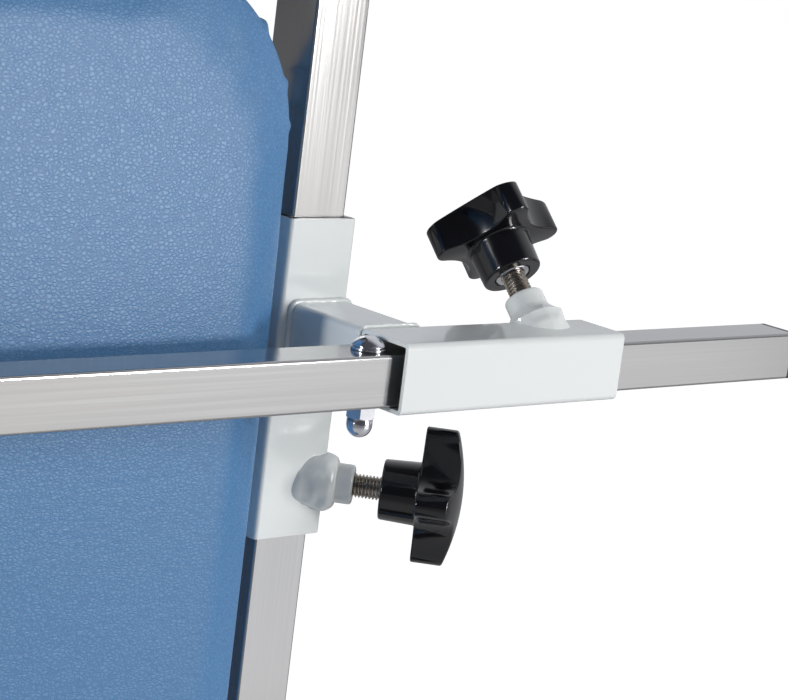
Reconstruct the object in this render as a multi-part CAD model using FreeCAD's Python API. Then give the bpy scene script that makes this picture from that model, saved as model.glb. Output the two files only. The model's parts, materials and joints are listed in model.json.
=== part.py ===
import FreeCAD, Part
import os
from math import acos, atan2, ceil, cos, pi, radians, sin, sqrt, tan
from FreeCAD import Placement, Rotation, Vector

# Physiotherapy tilt table, standing upright. Millimetres, +X to the right of someone who faces the pad,
# +Y to the back, +Z up. The origin is on the floor under the middle of the base.
# "Setback" is a distance behind the foremost line of the pad.

# Clearances and general values
overrun = 1.0
running_gap = 0.06
seat_gap = 0.3
thread_gap = 0.08

# Pivot and table top
pivot_height = 700.0
pivot_forward = 200.0
pivot_setback = 130.0
pad_width = 600.0
pad_length = 1680.0
pad_thickness = 72.0
pad_foot_height = 160.0
pad_corner = 80.0
pad_edge_round = 30.0
pad_crown = 4.0
pad_draw_in = 7.0
pad_draw_height = 24.0
board_thickness = 18.0
board_inset = 20.0
board_end_inset = 10.0
board_corner = 60.0

# Side rails and their ties
rail_side = 32.0
rail_wall = 2.0
rail_corner = 2.5
rail_clearance = 16.0
rail_setback = 35.0
rail_bottom = 100.0
rail_above_clamp = 290.0
rail_cap_thickness = 3.0
plug_depth = 14.0
end_tube_inset = 30.0
tie_width = 40.0
tie_thickness = 6.0
middle_tie_height = 940.0

# Frame under the board
frame_depth = 60.0
frame_width = 30.0
frame_wall = 2.5
frame_corner = 4.0
frame_inset = 80.0
frame_bottom = 115.0
frame_top_inset = 50.0
frame_upper_cross_share = 0.65

# Trunnions, bushes and scale
trunnion_radius = 12.5
trunnion_boss_radius = 20.0
trunnion_boss_length = 6.0
trunnion_spare = 6.0
trunnion_washer_radius = 19.0
trunnion_washer_thickness = 3.0
bush_wall = 4.5
bush_flange_radius = 22.0
bush_flange_thickness = 2.0
scale_thickness = 2.0
scale_inner_radius = 62.0
scale_outer_radius = 100.0
scale_spoke_width = 16.0
scale_tab_length = 70.0
scale_screw_radius = 4.0
scale_screw_height = 2.4
pointer_thickness = 2.0
pointer_hub_radius = 19.0
pointer_reach = 94.0
pointer_tip_width = 3.0
pointer_gap = 1.0

# Base
base_length = 1260.0
base_outreach = 130.0
base_tube = 60.0
base_wall = 3.0
base_corner = 6.0
base_clearance = 40.0
rear_cross_inset = 160.0
base_cap_thickness = 4.0
foot_front_inset = 50.0
foot_rear_inset = 210.0
foot_stud_radius = 6.0
foot_pad_radius = 30.0
foot_pad_thickness = 8.0
foot_pad_round = 2.5
foot_cup_radius = 25.0
foot_cup_height = 13.0
foot_nut_flats = 19.0
foot_nut_height = 8.0
foot_stud_inside = 22.0

# Uprights and braces
upright_gap = 20.0
upright_width = 40.0
upright_depth = 56.0
upright_wall = 3.0
upright_corner = 4.0
upright_block_height = 90.0
gusset_side = 62.0
gusset_thickness = 6.0
brace_width = 30.0
brace_height = 40.0
brace_wall = 2.5
brace_top_height = 320.0
brace_foot_rise = 10.0

# Transport wheels
wheel_radius = 50.0
wheel_width = 32.0
wheel_lift = 4.0
wheel_inset = 65.0
wheel_gap = 4.0
wheel_axle_radius = 6.0
wheel_hub_radius = 17.0
wheel_web = 12.0
wheel_rim = 11.0
tyre_round = 7.0
axle_head_radius = 10.0
axle_head_height = 5.0

# Toothed sector and pinion
gear_module = 3.0
sector_teeth = 120
pinion_teeth = 16
pressure_angle = 20.0
addendum_share = 0.9
dedendum_share = 1.25
tooth_backlash = 0.16
sector_thickness = 10.0
sector_lead = 6.0
sector_travel = 90.0
sector_hub_radius = 34.0
sector_rim = 16.0
sector_arm = 9.0
sector_windows = 3
window_round = 6.0
pinion_width = 12.0
pinion_shaft_radius = 8.0
pinion_tail = 3.0
pinion_collar_radius = 12.0
pinion_bearing_radius = 14.0
pinion_shaft_inside = 22.0

# Worm gearbox with its crank
worm_drop = 36.0
gearbox_depth = 84.0
gearbox_height = 116.0
gearbox_width = 62.0
gearbox_round = 12.0
gearbox_flange_thickness = 8.0
gearbox_flange_side = 14.0
gearbox_cover_radius = 34.0
gearbox_cover_thickness = 4.0
worm_barrel_radius = 23.0
worm_barrel_overhang = 8.0
snout_radius = 15.0
snout_end = 150.0
spindle_radius = 8.0
spindle_inside = 24.0
crank_place = 190.0
crank_arm_thickness = 8.0
crank_reach = 140.0
crank_hub_radius = 19.0
crank_end_radius = 13.0
crank_nut_flats = 19.0
crank_nut_height = 8.0
grip_pin_radius = 4.0
grip_pin_head_radius = 7.0
grip_pin_head_height = 3.0
grip_length = 96.0
grip_radius = 14.0
grip_waist_radius = 11.5
grip_end_round = 6.0
flange_bolt_flats = 13.0
flange_bolt_height = 5.5
flange_bolt_spacing = 34.0
cover_bolt_radius = 3.5
cover_bolt_height = 3.0
cover_bolt_count = 6

# Clamp that carries the crossbar, one at each rail
clamp_height = 1660.0
rail_sleeve_side = 40.0
rail_sleeve_wall = 3.0
rail_sleeve_corner = 3.5
rail_sleeve_above = 58.0
rail_sleeve_below = 102.0
arm_width = 36.0
arm_height = 34.0
arm_wall = 3.0
arm_corner = 3.5
arm_length = 54.0
bar_sleeve_side = 34.0
bar_sleeve_wall = 2.2
bar_sleeve_corner = 3.0
bar_sleeve_length = 142.0
bar_sleeve_inboard = 14.5
bar_side = 25.0
bar_wall = 2.0
bar_corner = 1.6
bar_overhang = 268.0
bar_cap_thickness = 3.0
boss_radius = 10.0
boss_weld_radius = 14.5
boss_height = 15.0
boss_weld_height = 6.5
stud_radius = 6.0
stud_chamfer = 1.0
stud_in_knob = 16.0
bar_stud_show = 7.0
rail_stud_show = 12.0
bar_screw_place = 111.0
rail_screw_drop = 75.0
bar_knob_turn = -13.0
rail_knob_turn = 45.0

# Four-lobed clamping knob
knob_radius = 31.5
knob_lobe_radius = 10.5
knob_scallop_place = 33.0
knob_height = 43.0
knob_head_height = 19.0
knob_dome = 3.5
knob_rim_round = 3.0
knob_hub_radius = 15.0
knob_hub_root_radius = 15.8
knob_lobes = 4

# Stop bolt beside the right-hand bar sleeve
stop_bolt_place = 8.0
stop_bolt_radius = 4.0
stop_head_radius = 8.0
stop_head_height = 5.0
stop_washer_radius = 8.5
stop_washer_thickness = 1.6
stop_nut_flats = 13.0
stop_nut_hex_height = 6.0
stop_nut_dome_radius = 6.1
stop_nut_height = 14.5

# Footboard
foot_height = 206.0
footboard_overhang = 18.0
footboard_depth = 270.0
footboard_gap = 20.0
footboard_thickness = 18.0
footboard_corner = 40.0
footboard_edge_round = 4.0
foot_mat_inset = 18.0
foot_mat_thickness = 3.0
foot_mat_rib_height = 1.5
foot_mat_rib_width = 6.0
foot_mat_rib_count = 17
foot_tube = 30.0
foot_tube_wall = 2.5
foot_tube_corner = 3.5
foot_sleeve_length = 100.0
foot_sleeve_bottom = 154.0
foot_screw_inset = 26.0
foot_cross_inset = 12.0

# Straps
strap_width = 50.0
strap_thickness = 2.0
strap_tail = 45.0
strap_slack = 1.0
chest_strap_height = 1250.0
knee_strap_clearance = 15.0
buckle_length = 70.0
buckle_height = 60.0
buckle_thickness = 9.0
buckle_round = 8.0
buckle_slot = 6.0
buckle_slot_edge = 5.0
buckle_waist = 7.0
buckle_waist_length = 20.0

# Places worked out from the sizes above
pivot_y = -pivot_forward
pad_front = pivot_y - pivot_setback
rail_x = pad_width / 2 + rail_clearance + rail_side / 2
rail_top = clamp_height + rail_above_clamp
frame_top = rail_top - frame_top_inset
rail_y = pad_front + rail_setback + rail_side / 2
board_front = pad_front + pad_thickness
board_back = board_front + board_thickness
frame_half = pad_width / 2 - frame_inset
frame_y = board_back + frame_depth / 2
upright_x = frame_half + upright_gap + upright_width / 2
upright_inside = upright_x - upright_width / 2
upright_outside = upright_x + upright_width / 2
base_x = upright_x + base_outreach
base_z = base_clearance + base_tube / 2
base_top = base_clearance + base_tube
rear_cross_y = base_length / 2 - rear_cross_inset
wheel_y = base_length / 2 - wheel_inset
sector_pitch_radius = gear_module * sector_teeth / 2
pinion_pitch_radius = gear_module * pinion_teeth / 2
pinion_z = pivot_height - sector_pitch_radius - pinion_pitch_radius
sector_x = frame_half + trunnion_boss_length
worm_z = pinion_z - worm_drop
gearbox_z = (pinion_z + worm_z) / 2
flange_top = gearbox_z + gearbox_height / 2 + gearbox_flange_side
knee_strap_height = flange_top + knee_strap_clearance + strap_width / 2
gearbox_back = pivot_y + gearbox_depth / 2
gearbox_outside = upright_outside + gearbox_width
worm_x = upright_outside + gearbox_width / 2
crank_y = pivot_y + crank_place
bar_sleeve_y = rail_y - rail_sleeve_side / 2 - arm_length - bar_sleeve_side / 2
bar_sleeve_end = rail_x - bar_sleeve_inboard
bar_seat = bar_sleeve_side / 2 - bar_sleeve_wall - seat_gap - bar_side / 2
bar_y = bar_sleeve_y + bar_seat
bar_z = clamp_height - bar_seat
footboard_back = pad_front - footboard_gap
footboard_front = footboard_back - footboard_depth
footboard_width = 2 * (rail_x + footboard_overhang)

X_AXIS = Vector(1, 0, 0)
Y_AXIS = Vector(0, 1, 0)
Z_AXIS = Vector(0, 0, 1)


# Outlines and basic solids
def rounded_outline(width, depth, corner):
    """Closed rounded rectangle in the XY plane, centred on the origin."""
    a = width / 2
    b = depth / 2
    inner_a = a - corner
    inner_b = b - corner
    bow = corner * sin(pi / 4)
    edges = []
    for sx, sy in ((1, 1), (-1, 1), (-1, -1), (1, -1)):
        side_point = Vector(sx * a, sy * inner_b)
        bow_point = Vector(sx * (inner_a + bow), sy * (inner_b + bow))
        top_point = Vector(sx * inner_a, sy * b)
        corner_points = (side_point, bow_point, top_point) if sx == sy else (top_point, bow_point, side_point)
        edges.append(Part.Arc(*corner_points).toShape())
    joined = []
    for index, arc in enumerate(edges):
        following = edges[(index + 1) % len(edges)]
        joined.append(arc)
        start = arc.Vertexes[-1].Point
        end = following.Vertexes[0].Point
        joined.append(Part.makeLine(start, end))
    return Part.Wire(joined)


def prism(width, depth, corner, length):
    return Part.Face(rounded_outline(width, depth, corner)).extrude(Vector(0, 0, length))


def tube(width, depth, wall, corner, length):
    """Rectangular hollow section along +Z with even walls."""
    outside = prism(width, depth, corner, length)
    inner_corner = max(corner - wall, wall / 4)
    inside = prism(width - 2 * wall, depth - 2 * wall, inner_corner, length + 2 * overrun)
    inside.translate(Vector(0, 0, -overrun))
    return outside.cut(inside)


def moved(shape, x, y, z):
    copy = shape.copy()
    copy.translate(Vector(x, y, z))
    return copy


def along_x(shape, x, y, z):
    """Turns a +Z solid to +X: its width lies along Y and its depth along Z."""
    copy = shape.copy()
    copy.Placement = Placement(Vector(x, y, z), Rotation(Vector(1, 1, 1), 120))
    return copy


def along_y(shape, x, y, z):
    """Turns a +Z solid to +Y: its width lies along Z and its depth along X."""
    copy = shape.copy()
    copy.Placement = Placement(Vector(x, y, z), Rotation(Vector(1, 1, 1), 240))
    return copy


def pointing(shape, origin, direction):
    """Turns a +Z solid so that it points along a direction from an origin."""
    copy = shape.copy()
    copy.Placement = Placement(origin, Rotation(Z_AXIS, direction))
    return copy


def pointed(shape, origin, direction):
    """The same for a shape that has been turned about its own axis before."""
    copy = shape.copy()
    copy.Placement = Placement(origin, Rotation(Z_AXIS, direction)) * shape.Placement
    return copy


def block(x0, x1, y0, y1, z0, z1):
    return Part.makeBox(x1 - x0, y1 - y0, z1 - z0, Vector(x0, y0, z0))


def rod(radius, start, end):
    span = end - start
    return Part.makeCylinder(radius, span.Length, start, span)


def ring(outer, inner, height):
    bore = Part.makeCylinder(inner, height + 2 * overrun, Vector(0, 0, -overrun))
    return Part.makeCylinder(outer, height).cut(bore)


def hexagon(flats, height):
    corner = flats / sqrt(3)
    points = [Vector(corner * cos(radians(60 * k)), corner * sin(radians(60 * k)), 0) for k in range(7)]
    return Part.Face(Part.makePolygon(points)).extrude(Vector(0, 0, height))


def turned(start, *steps):
    """Solid of revolution about Z. A step is a point (radius, height), or a point on an arc and its end."""
    here = Vector(start[0], 0, start[1])
    edges = []
    for step in steps:
        if isinstance(step[0], tuple):
            middle, end = (Vector(r, 0, h) for r, h in step)
            edges.append(Part.Arc(here, middle, end).toShape())
        else:
            end = Vector(step[0], 0, step[1])
            edges.append(Part.makeLine(here, end))
        here = end
    edges.append(Part.makeLine(here, Vector(start[0], 0, start[1])))
    solid = Part.Face(Part.Wire(edges)).revolve(Vector(0, 0, 0), Z_AXIS, 360)
    return solid


def domed(radius, start, rise):
    """Last step of a turned outline: a spherical cap that starts at a radius and ends on the axis."""
    sphere = (radius * radius + rise * rise) / (2 * rise)
    half_angle = atan2(radius, sphere - rise) / 2
    return (sphere * sin(half_angle), start + rise - sphere * (1 - cos(half_angle))), (0, start + rise)


def mirrored(shape):
    return shape.mirror(Vector(0, 0, 0), X_AXIS)


def both(shape):
    return [shape, mirrored(shape)]


def save(node, *solids):
    """Writes one STEP file, with the given solids side by side."""
    flat = []
    for item in solids:
        flat.extend(item if isinstance(item, list) else [item])
    shape = flat[0] if len(flat) == 1 else Part.makeCompound(flat)
    if not shape.isValid():
        print("not valid:", node)
    os.makedirs("parts", exist_ok=True)
    shape.exportStep("parts/" + node + ".step")


# Base: two side members, two cross members and the feet
def base_end_cap(side):
    inside = base_tube - 2 * base_wall - 2 * seat_gap
    plate = prism(base_tube, base_tube, base_corner, base_cap_thickness)
    plug = tube(inside, inside, base_wall, base_corner, plug_depth)
    y = side * base_length / 2
    if side > 0:
        return [along_y(plate, base_x, y - base_cap_thickness, base_z).fuse(
            along_y(plug, base_x, y - base_cap_thickness - plug_depth, base_z)).removeSplitter()]
    return [along_y(plate, base_x, y, base_z).fuse(
        along_y(plug, base_x, y + base_cap_thickness, base_z)).removeSplitter()]


def foot_places():
    return (-base_length / 2 + foot_front_inset, base_length / 2 - foot_rear_inset)


def make_base():
    length = base_length - 2 * base_cap_thickness
    member = along_y(tube(base_tube, base_tube, base_wall, base_corner, length), base_x, -length / 2, base_z)
    for y in foot_places():
        start = Vector(base_x, y, base_clearance - overrun)
        member = member.cut(rod(foot_stud_radius + thread_gap, start, start + Vector(0, 0, base_wall + 2 * overrun)))
    axle_start = Vector(base_x - base_tube, wheel_y, wheel_radius + wheel_lift)
    axle_end = axle_start + Vector(2 * base_tube, 0, 0)
    member = member.cut(rod(wheel_axle_radius + running_gap, axle_start, axle_end))
    save("base_side_members", both(member))

    span = 2 * base_x - base_tube
    cross = tube(base_tube, base_tube, base_wall, base_corner, span)
    front = along_x(cross, -span / 2, pivot_y, base_z)
    rear = along_x(cross, -span / 2, rear_cross_y, base_z)
    save("base_cross_members", front, rear)
    save("base_end_caps", *(both(cap) for side in (-1, 1) for cap in base_end_cap(side)))


def make_feet():
    pad_profile = [
        (0, 0),
        (foot_pad_radius - foot_pad_round, 0),
        ((foot_pad_radius - foot_pad_round * (1 - sin(pi / 4)), foot_pad_round * (1 - cos(pi / 4))),
         (foot_pad_radius, foot_pad_round)),
        (foot_pad_radius, foot_pad_thickness),
        (0, foot_pad_thickness),
    ]
    rubber = turned(*pad_profile)
    cup_top = foot_pad_thickness + foot_cup_height
    cup = turned(
        (0, foot_pad_thickness), (foot_cup_radius, foot_pad_thickness),
        (foot_cup_radius, foot_pad_thickness + foot_cup_height / 4),
        (2 * foot_stud_radius, cup_top), (0, cup_top))
    stud = Part.makeCylinder(foot_stud_radius, base_clearance + foot_stud_inside - cup_top, Vector(0, 0, cup_top))
    nut = moved(hexagon(foot_nut_flats, foot_nut_height), 0, 0, base_clearance - foot_nut_height)
    foot = cup.fuse([stud, nut]).removeSplitter()
    feet = []
    pads = []
    for y in foot_places():
        feet.extend(both(moved(foot, base_x, y, 0)))
        pads.extend(both(moved(rubber, base_x, y, 0)))
    save("levelling_feet", feet)
    save("foot_pads", pads)


def make_wheels():
    half = wheel_width / 2
    rim_radius = wheel_radius - wheel_rim
    web = wheel_web / 2
    wheel = turned(
        (wheel_axle_radius + running_gap, -half), (wheel_hub_radius, -half), (wheel_hub_radius, -web),
        (rim_radius, -web), (rim_radius, -half), (wheel_radius - tyre_round, -half),
        ((wheel_radius - tyre_round * (1 - sin(pi / 4)), -half + tyre_round * (1 - cos(pi / 4))),
         (wheel_radius, -half + tyre_round)),
        (wheel_radius, half - tyre_round),
        ((wheel_radius - tyre_round * (1 - sin(pi / 4)), half - tyre_round * (1 - cos(pi / 4))),
         (wheel_radius - tyre_round, half)),
        (rim_radius, half), (rim_radius, web), (wheel_hub_radius, web), (wheel_hub_radius, half),
        (wheel_axle_radius + running_gap, half))
    wheel_x = base_x - base_tube / 2 - wheel_gap - half
    wheel_z = wheel_radius + wheel_lift
    right = along_x(wheel, wheel_x, wheel_y, wheel_z)
    save("transport_wheel_right", right)
    save("transport_wheel_left", mirrored(right))

    inner = wheel_x - half - seat_gap
    outer = base_x + base_tube / 2
    axle = rod(wheel_axle_radius, Vector(inner, wheel_y, wheel_z), Vector(outer, wheel_y, wheel_z))
    heads = [
        rod(axle_head_radius, Vector(inner - axle_head_height, wheel_y, wheel_z),
            Vector(inner, wheel_y, wheel_z)),
        rod(axle_head_radius, Vector(outer, wheel_y, wheel_z),
            Vector(outer + axle_head_height, wheel_y, wheel_z)),
    ]
    spacer = ring(wheel_hub_radius, wheel_axle_radius - running_gap, wheel_gap - seat_gap)
    spacer = along_x(spacer, wheel_x + half + seat_gap, wheel_y, wheel_z)
    save("roller_axles", both(axle.fuse(heads + [spacer]).removeSplitter()))


# Uprights: a column with a round solid head for the bush
def side_outline(points_and_arcs, x0, x1):
    """Extrudes a closed outline in the YZ plane. An entry is a point, or a point on an arc and its end."""
    here = Vector(x0, *points_and_arcs[0])
    first = here
    edges = []
    for entry in points_and_arcs[1:]:
        if isinstance(entry[0], tuple):
            middle, end = (Vector(x0, y, z) for y, z in entry)
            edges.append(Part.Arc(here, middle, end).toShape())
        else:
            end = Vector(x0, *entry)
            edges.append(Part.makeLine(here, end))
        here = end
    edges.append(Part.makeLine(here, first))
    return Part.Face(Part.Wire(edges)).extrude(Vector(x1 - x0, 0, 0))


def make_uprights():
    half = upright_depth / 2
    column = tube(upright_width, upright_depth, upright_wall, upright_corner,
                  pivot_height - upright_block_height - base_top)
    column = moved(column, upright_x, pivot_y, base_top)
    head = side_outline([
        (pivot_y - half, pivot_height - upright_block_height),
        (pivot_y + half, pivot_height - upright_block_height),
        (pivot_y + half, pivot_height),
        ((pivot_y, pivot_height + half), (pivot_y - half, pivot_height)),
    ], upright_inside, upright_outside)
    gusset = side_outline([
        (pivot_y - gusset_thickness / 2, base_top), (pivot_y + gusset_thickness / 2, base_top),
        (pivot_y + gusset_thickness / 2, base_top + gusset_side),
        (pivot_y - gusset_thickness / 2, base_top + gusset_side),
    ], upright_outside, upright_outside + gusset_side)
    slope = Part.makePolygon([
        Vector(upright_outside + gusset_thickness, pivot_y - gusset_side, base_top + gusset_side),
        Vector(upright_outside + gusset_side, pivot_y - gusset_side, base_top + gusset_thickness),
        Vector(upright_outside + gusset_side + overrun, pivot_y - gusset_side, base_top + gusset_side + overrun),
        Vector(upright_outside + gusset_thickness, pivot_y - gusset_side, base_top + gusset_side),
    ])
    gusset = gusset.cut(Part.Face(slope).extrude(Vector(0, 2 * gusset_side, 0)))
    bearing = rod(pinion_bearing_radius, Vector(upright_inside, pivot_y, pinion_z),
                  Vector(upright_outside, pivot_y, pinion_z))
    upright = column.fuse([head, gusset, bearing]).removeSplitter()
    for radius, z in ((trunnion_radius + bush_wall + running_gap, pivot_height),
                      (pinion_shaft_radius + running_gap, pinion_z)):
        upright = upright.cut(rod(radius, Vector(upright_inside - overrun, pivot_y, z),
                                  Vector(upright_outside + overrun, pivot_y, z)))
    save("uprights", both(upright))

    bush = ring(trunnion_radius + bush_wall, trunnion_radius + running_gap, upright_width)
    flange = ring(bush_flange_radius, trunnion_radius + running_gap, bush_flange_thickness)
    bush = bush.fuse([moved(flange, 0, 0, -bush_flange_thickness), moved(flange, 0, 0, upright_width)])
    save("pivot_bushes", both(along_x(bush.removeSplitter(), upright_inside, pivot_y, pivot_height)))

    y0 = pivot_y + upright_depth / 2
    y1 = rear_cross_y - base_tube / 2
    foot = base_clearance + brace_foot_rise
    outer = side_outline([(y0, brace_top_height - brace_height), (y1, foot), (y1, foot + brace_height),
                          (y0, brace_top_height)], upright_x - brace_width / 2, upright_x + brace_width / 2)
    rise_per_run = (brace_top_height - brace_height - foot) / (y1 - y0)
    shift = rise_per_run * overrun
    inner = side_outline([
        (y0 - overrun, brace_top_height - brace_height + brace_wall + shift),
        (y1 + overrun, foot + brace_wall - shift), (y1 + overrun, foot + brace_height - brace_wall - shift),
        (y0 - overrun, brace_top_height - brace_wall + shift),
    ], upright_x - brace_width / 2 + brace_wall, upright_x + brace_width / 2 - brace_wall)
    save("upright_braces", both(outer.cut(inner)))


# Teeth: true involute flanks, drawn through a few points each
def involute(angle):
    return tan(angle) - angle


def tooth_half_angle(teeth, radius):
    """Half the angle that a tooth takes up at a radius, less its share of the backlash."""
    pitch_radius = gear_module * teeth / 2
    base_radius = pitch_radius * cos(radians(pressure_angle))
    here = acos(min(base_radius / max(radius, base_radius), 1))
    half_pitch = pi / (2 * teeth) - tooth_backlash / (2 * pitch_radius)
    return half_pitch + involute(radians(pressure_angle)) - involute(here)


def tooth_points(teeth, centre_angle, addendum, steps):
    """Tooth outline from root to tip to root, as (radius, angle)."""
    pitch_radius = gear_module * teeth / 2
    root = pitch_radius - dedendum_share * gear_module
    tip = pitch_radius + addendum
    base_radius = max(root, pitch_radius * cos(radians(pressure_angle)))
    radii = [root] + [base_radius + (tip - base_radius) * k / steps for k in range(steps + 1)]
    if base_radius - root < running_gap:
        radii = radii[1:]
    rising = [(r, centre_angle - tooth_half_angle(teeth, r)) for r in radii]
    falling = [(r, centre_angle + tooth_half_angle(teeth, r)) for r in reversed(radii)]
    return rising + falling


def around_pivot(x, radius, angle):
    """Point at an angle measured from straight down towards the back."""
    return Vector(x, pivot_y + radius * sin(angle), pivot_height - radius * cos(angle))


def sector_window(start, end):
    root = sector_pitch_radius - dedendum_share * gear_module
    inner = sector_hub_radius + sector_arm / 2
    outer = root - sector_rim
    inner_slack = sector_arm / 2 / inner
    outer_slack = sector_arm / 2 / outer
    middle = (start + end) / 2
    x = sector_x - overrun
    corners = [
        around_pivot(x, inner, start + inner_slack), around_pivot(x, inner, end - inner_slack),
        around_pivot(x, outer, end - outer_slack), around_pivot(x, outer, start + outer_slack),
    ]
    edges = [
        Part.Arc(corners[0], around_pivot(x, inner, middle), corners[1]).toShape(),
        Part.makeLine(corners[1], corners[2]),
        Part.Arc(corners[2], around_pivot(x, outer, middle), corners[3]).toShape(),
        Part.makeLine(corners[3], corners[0]),
    ]
    window = Part.Face(Part.Wire(edges)).extrude(Vector(sector_thickness + 2 * overrun, 0, 0))
    through = [edge for edge in window.Edges if abs(edge.tangentAt(edge.FirstParameter).x) > 1 - seat_gap]
    return window.makeFillet(min(window_round, inner * (end - start) / 4), through)


def make_sector():
    tooth_angle = 2 * pi / sector_teeth
    first = -ceil(radians(sector_lead) / tooth_angle)
    last = ceil(radians(sector_travel + sector_lead) / tooth_angle)
    addendum = addendum_share * gear_module
    outline = []
    for k in range(first, last + 1):
        outline.extend(tooth_points(sector_teeth, k * tooth_angle, addendum, 2))
    points = [around_pivot(sector_x, r, a) for r, a in outline]
    hub_start = around_pivot(sector_x, sector_hub_radius, first * tooth_angle - tooth_angle / 2)
    hub_end = around_pivot(sector_x, sector_hub_radius, last * tooth_angle + tooth_angle / 2)
    centre = around_pivot(sector_x, 0, 0)
    points = points + [hub_end, centre, hub_start, points[0]]
    plate = Part.Face(Part.makePolygon(points)).extrude(Vector(sector_thickness, 0, 0))
    hub = rod(sector_hub_radius, centre, centre + Vector(sector_thickness, 0, 0))
    plate = plate.fuse(hub)
    span = (last - first) * tooth_angle / sector_windows
    for k in range(sector_windows):
        start = first * tooth_angle + k * span
        plate = plate.cut(sector_window(start, start + span))
    bore = rod(trunnion_radius + running_gap, centre - Vector(overrun, 0, 0),
               centre + Vector(sector_thickness + overrun, 0, 0))
    save("tilt_sector", plate.cut(bore).removeSplitter())


def make_pinion():
    tooth_angle = 2 * pi / pinion_teeth
    addendum = gear_module
    x0 = sector_x + (sector_thickness - pinion_width) / 2
    points = []
    for k in range(pinion_teeth):
        for radius, angle in tooth_points(pinion_teeth, (k + 0.5) * tooth_angle, addendum, 3):
            points.append(Vector(x0, pivot_y + radius * sin(angle), pinion_z + radius * cos(angle)))
    points.append(points[0])
    gear = Part.Face(Part.makePolygon(points)).extrude(Vector(pinion_width, 0, 0))
    shaft = rod(pinion_shaft_radius, Vector(x0 - pinion_tail, pivot_y, pinion_z),
                Vector(upright_outside + pinion_shaft_inside, pivot_y, pinion_z))
    collar = rod(pinion_collar_radius, Vector(x0 + pinion_width, pivot_y, pinion_z),
                 Vector(upright_inside - seat_gap, pivot_y, pinion_z))
    save("drive_pinion", gear.fuse([shaft, collar]).removeSplitter())


# Gearbox on the outside of the right-hand upright
def make_gearbox():
    body = prism(gearbox_depth, gearbox_height, gearbox_round, gearbox_width)
    body = along_x(body, upright_outside, pivot_y, gearbox_z)
    flange = prism(gearbox_depth + 2 * gearbox_flange_side, gearbox_height + 2 * gearbox_flange_side,
                   gearbox_round, gearbox_flange_thickness)
    flange = along_x(flange, upright_outside, pivot_y, gearbox_z)
    cover = rod(gearbox_cover_radius, Vector(gearbox_outside, pivot_y, pinion_z),
                Vector(gearbox_outside + gearbox_cover_thickness, pivot_y, pinion_z))
    barrel = rod(worm_barrel_radius, Vector(worm_x, pivot_y - gearbox_depth / 2 - gearbox_cover_thickness, worm_z),
                 Vector(worm_x, gearbox_back + worm_barrel_overhang, worm_z))
    snout = rod(snout_radius, Vector(worm_x, gearbox_back, worm_z), Vector(worm_x, pivot_y + snout_end, worm_z))
    housing = body.fuse([flange, cover, barrel, snout]).removeSplitter()
    housing = housing.cut(rod(pinion_shaft_radius + running_gap, Vector(upright_outside - overrun, pivot_y, pinion_z),
                              Vector(upright_outside + pinion_shaft_inside + seat_gap, pivot_y, pinion_z)))
    spindle_start = pivot_y + snout_end - spindle_inside
    housing = housing.cut(rod(spindle_radius + running_gap, Vector(worm_x, spindle_start - seat_gap, worm_z),
                              Vector(worm_x, pivot_y + snout_end + overrun, worm_z)))
    save("gearbox_housing", housing)

    bolts = []
    bolt = hexagon(flange_bolt_flats, flange_bolt_height)
    reach_z = gearbox_height / 2 + gearbox_flange_side / 2
    for sz in (-1, 1):
        for sy in (-1, 1):
            bolts.append(along_x(bolt, upright_outside + gearbox_flange_thickness,
                                 pivot_y + sy * flange_bolt_spacing / 2, gearbox_z + sz * reach_z))
    for k in range(cover_bolt_count):
        angle = 2 * pi * k / cover_bolt_count
        radius = gearbox_cover_radius - 2 * cover_bolt_radius
        y = pivot_y + radius * cos(angle)
        z = pinion_z + radius * sin(angle)
        start = Vector(gearbox_outside + gearbox_cover_thickness, y, z)
        bolts.append(rod(cover_bolt_radius, start, start + Vector(cover_bolt_height, 0, 0)))
    save("gearbox_bolts", bolts)


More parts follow.
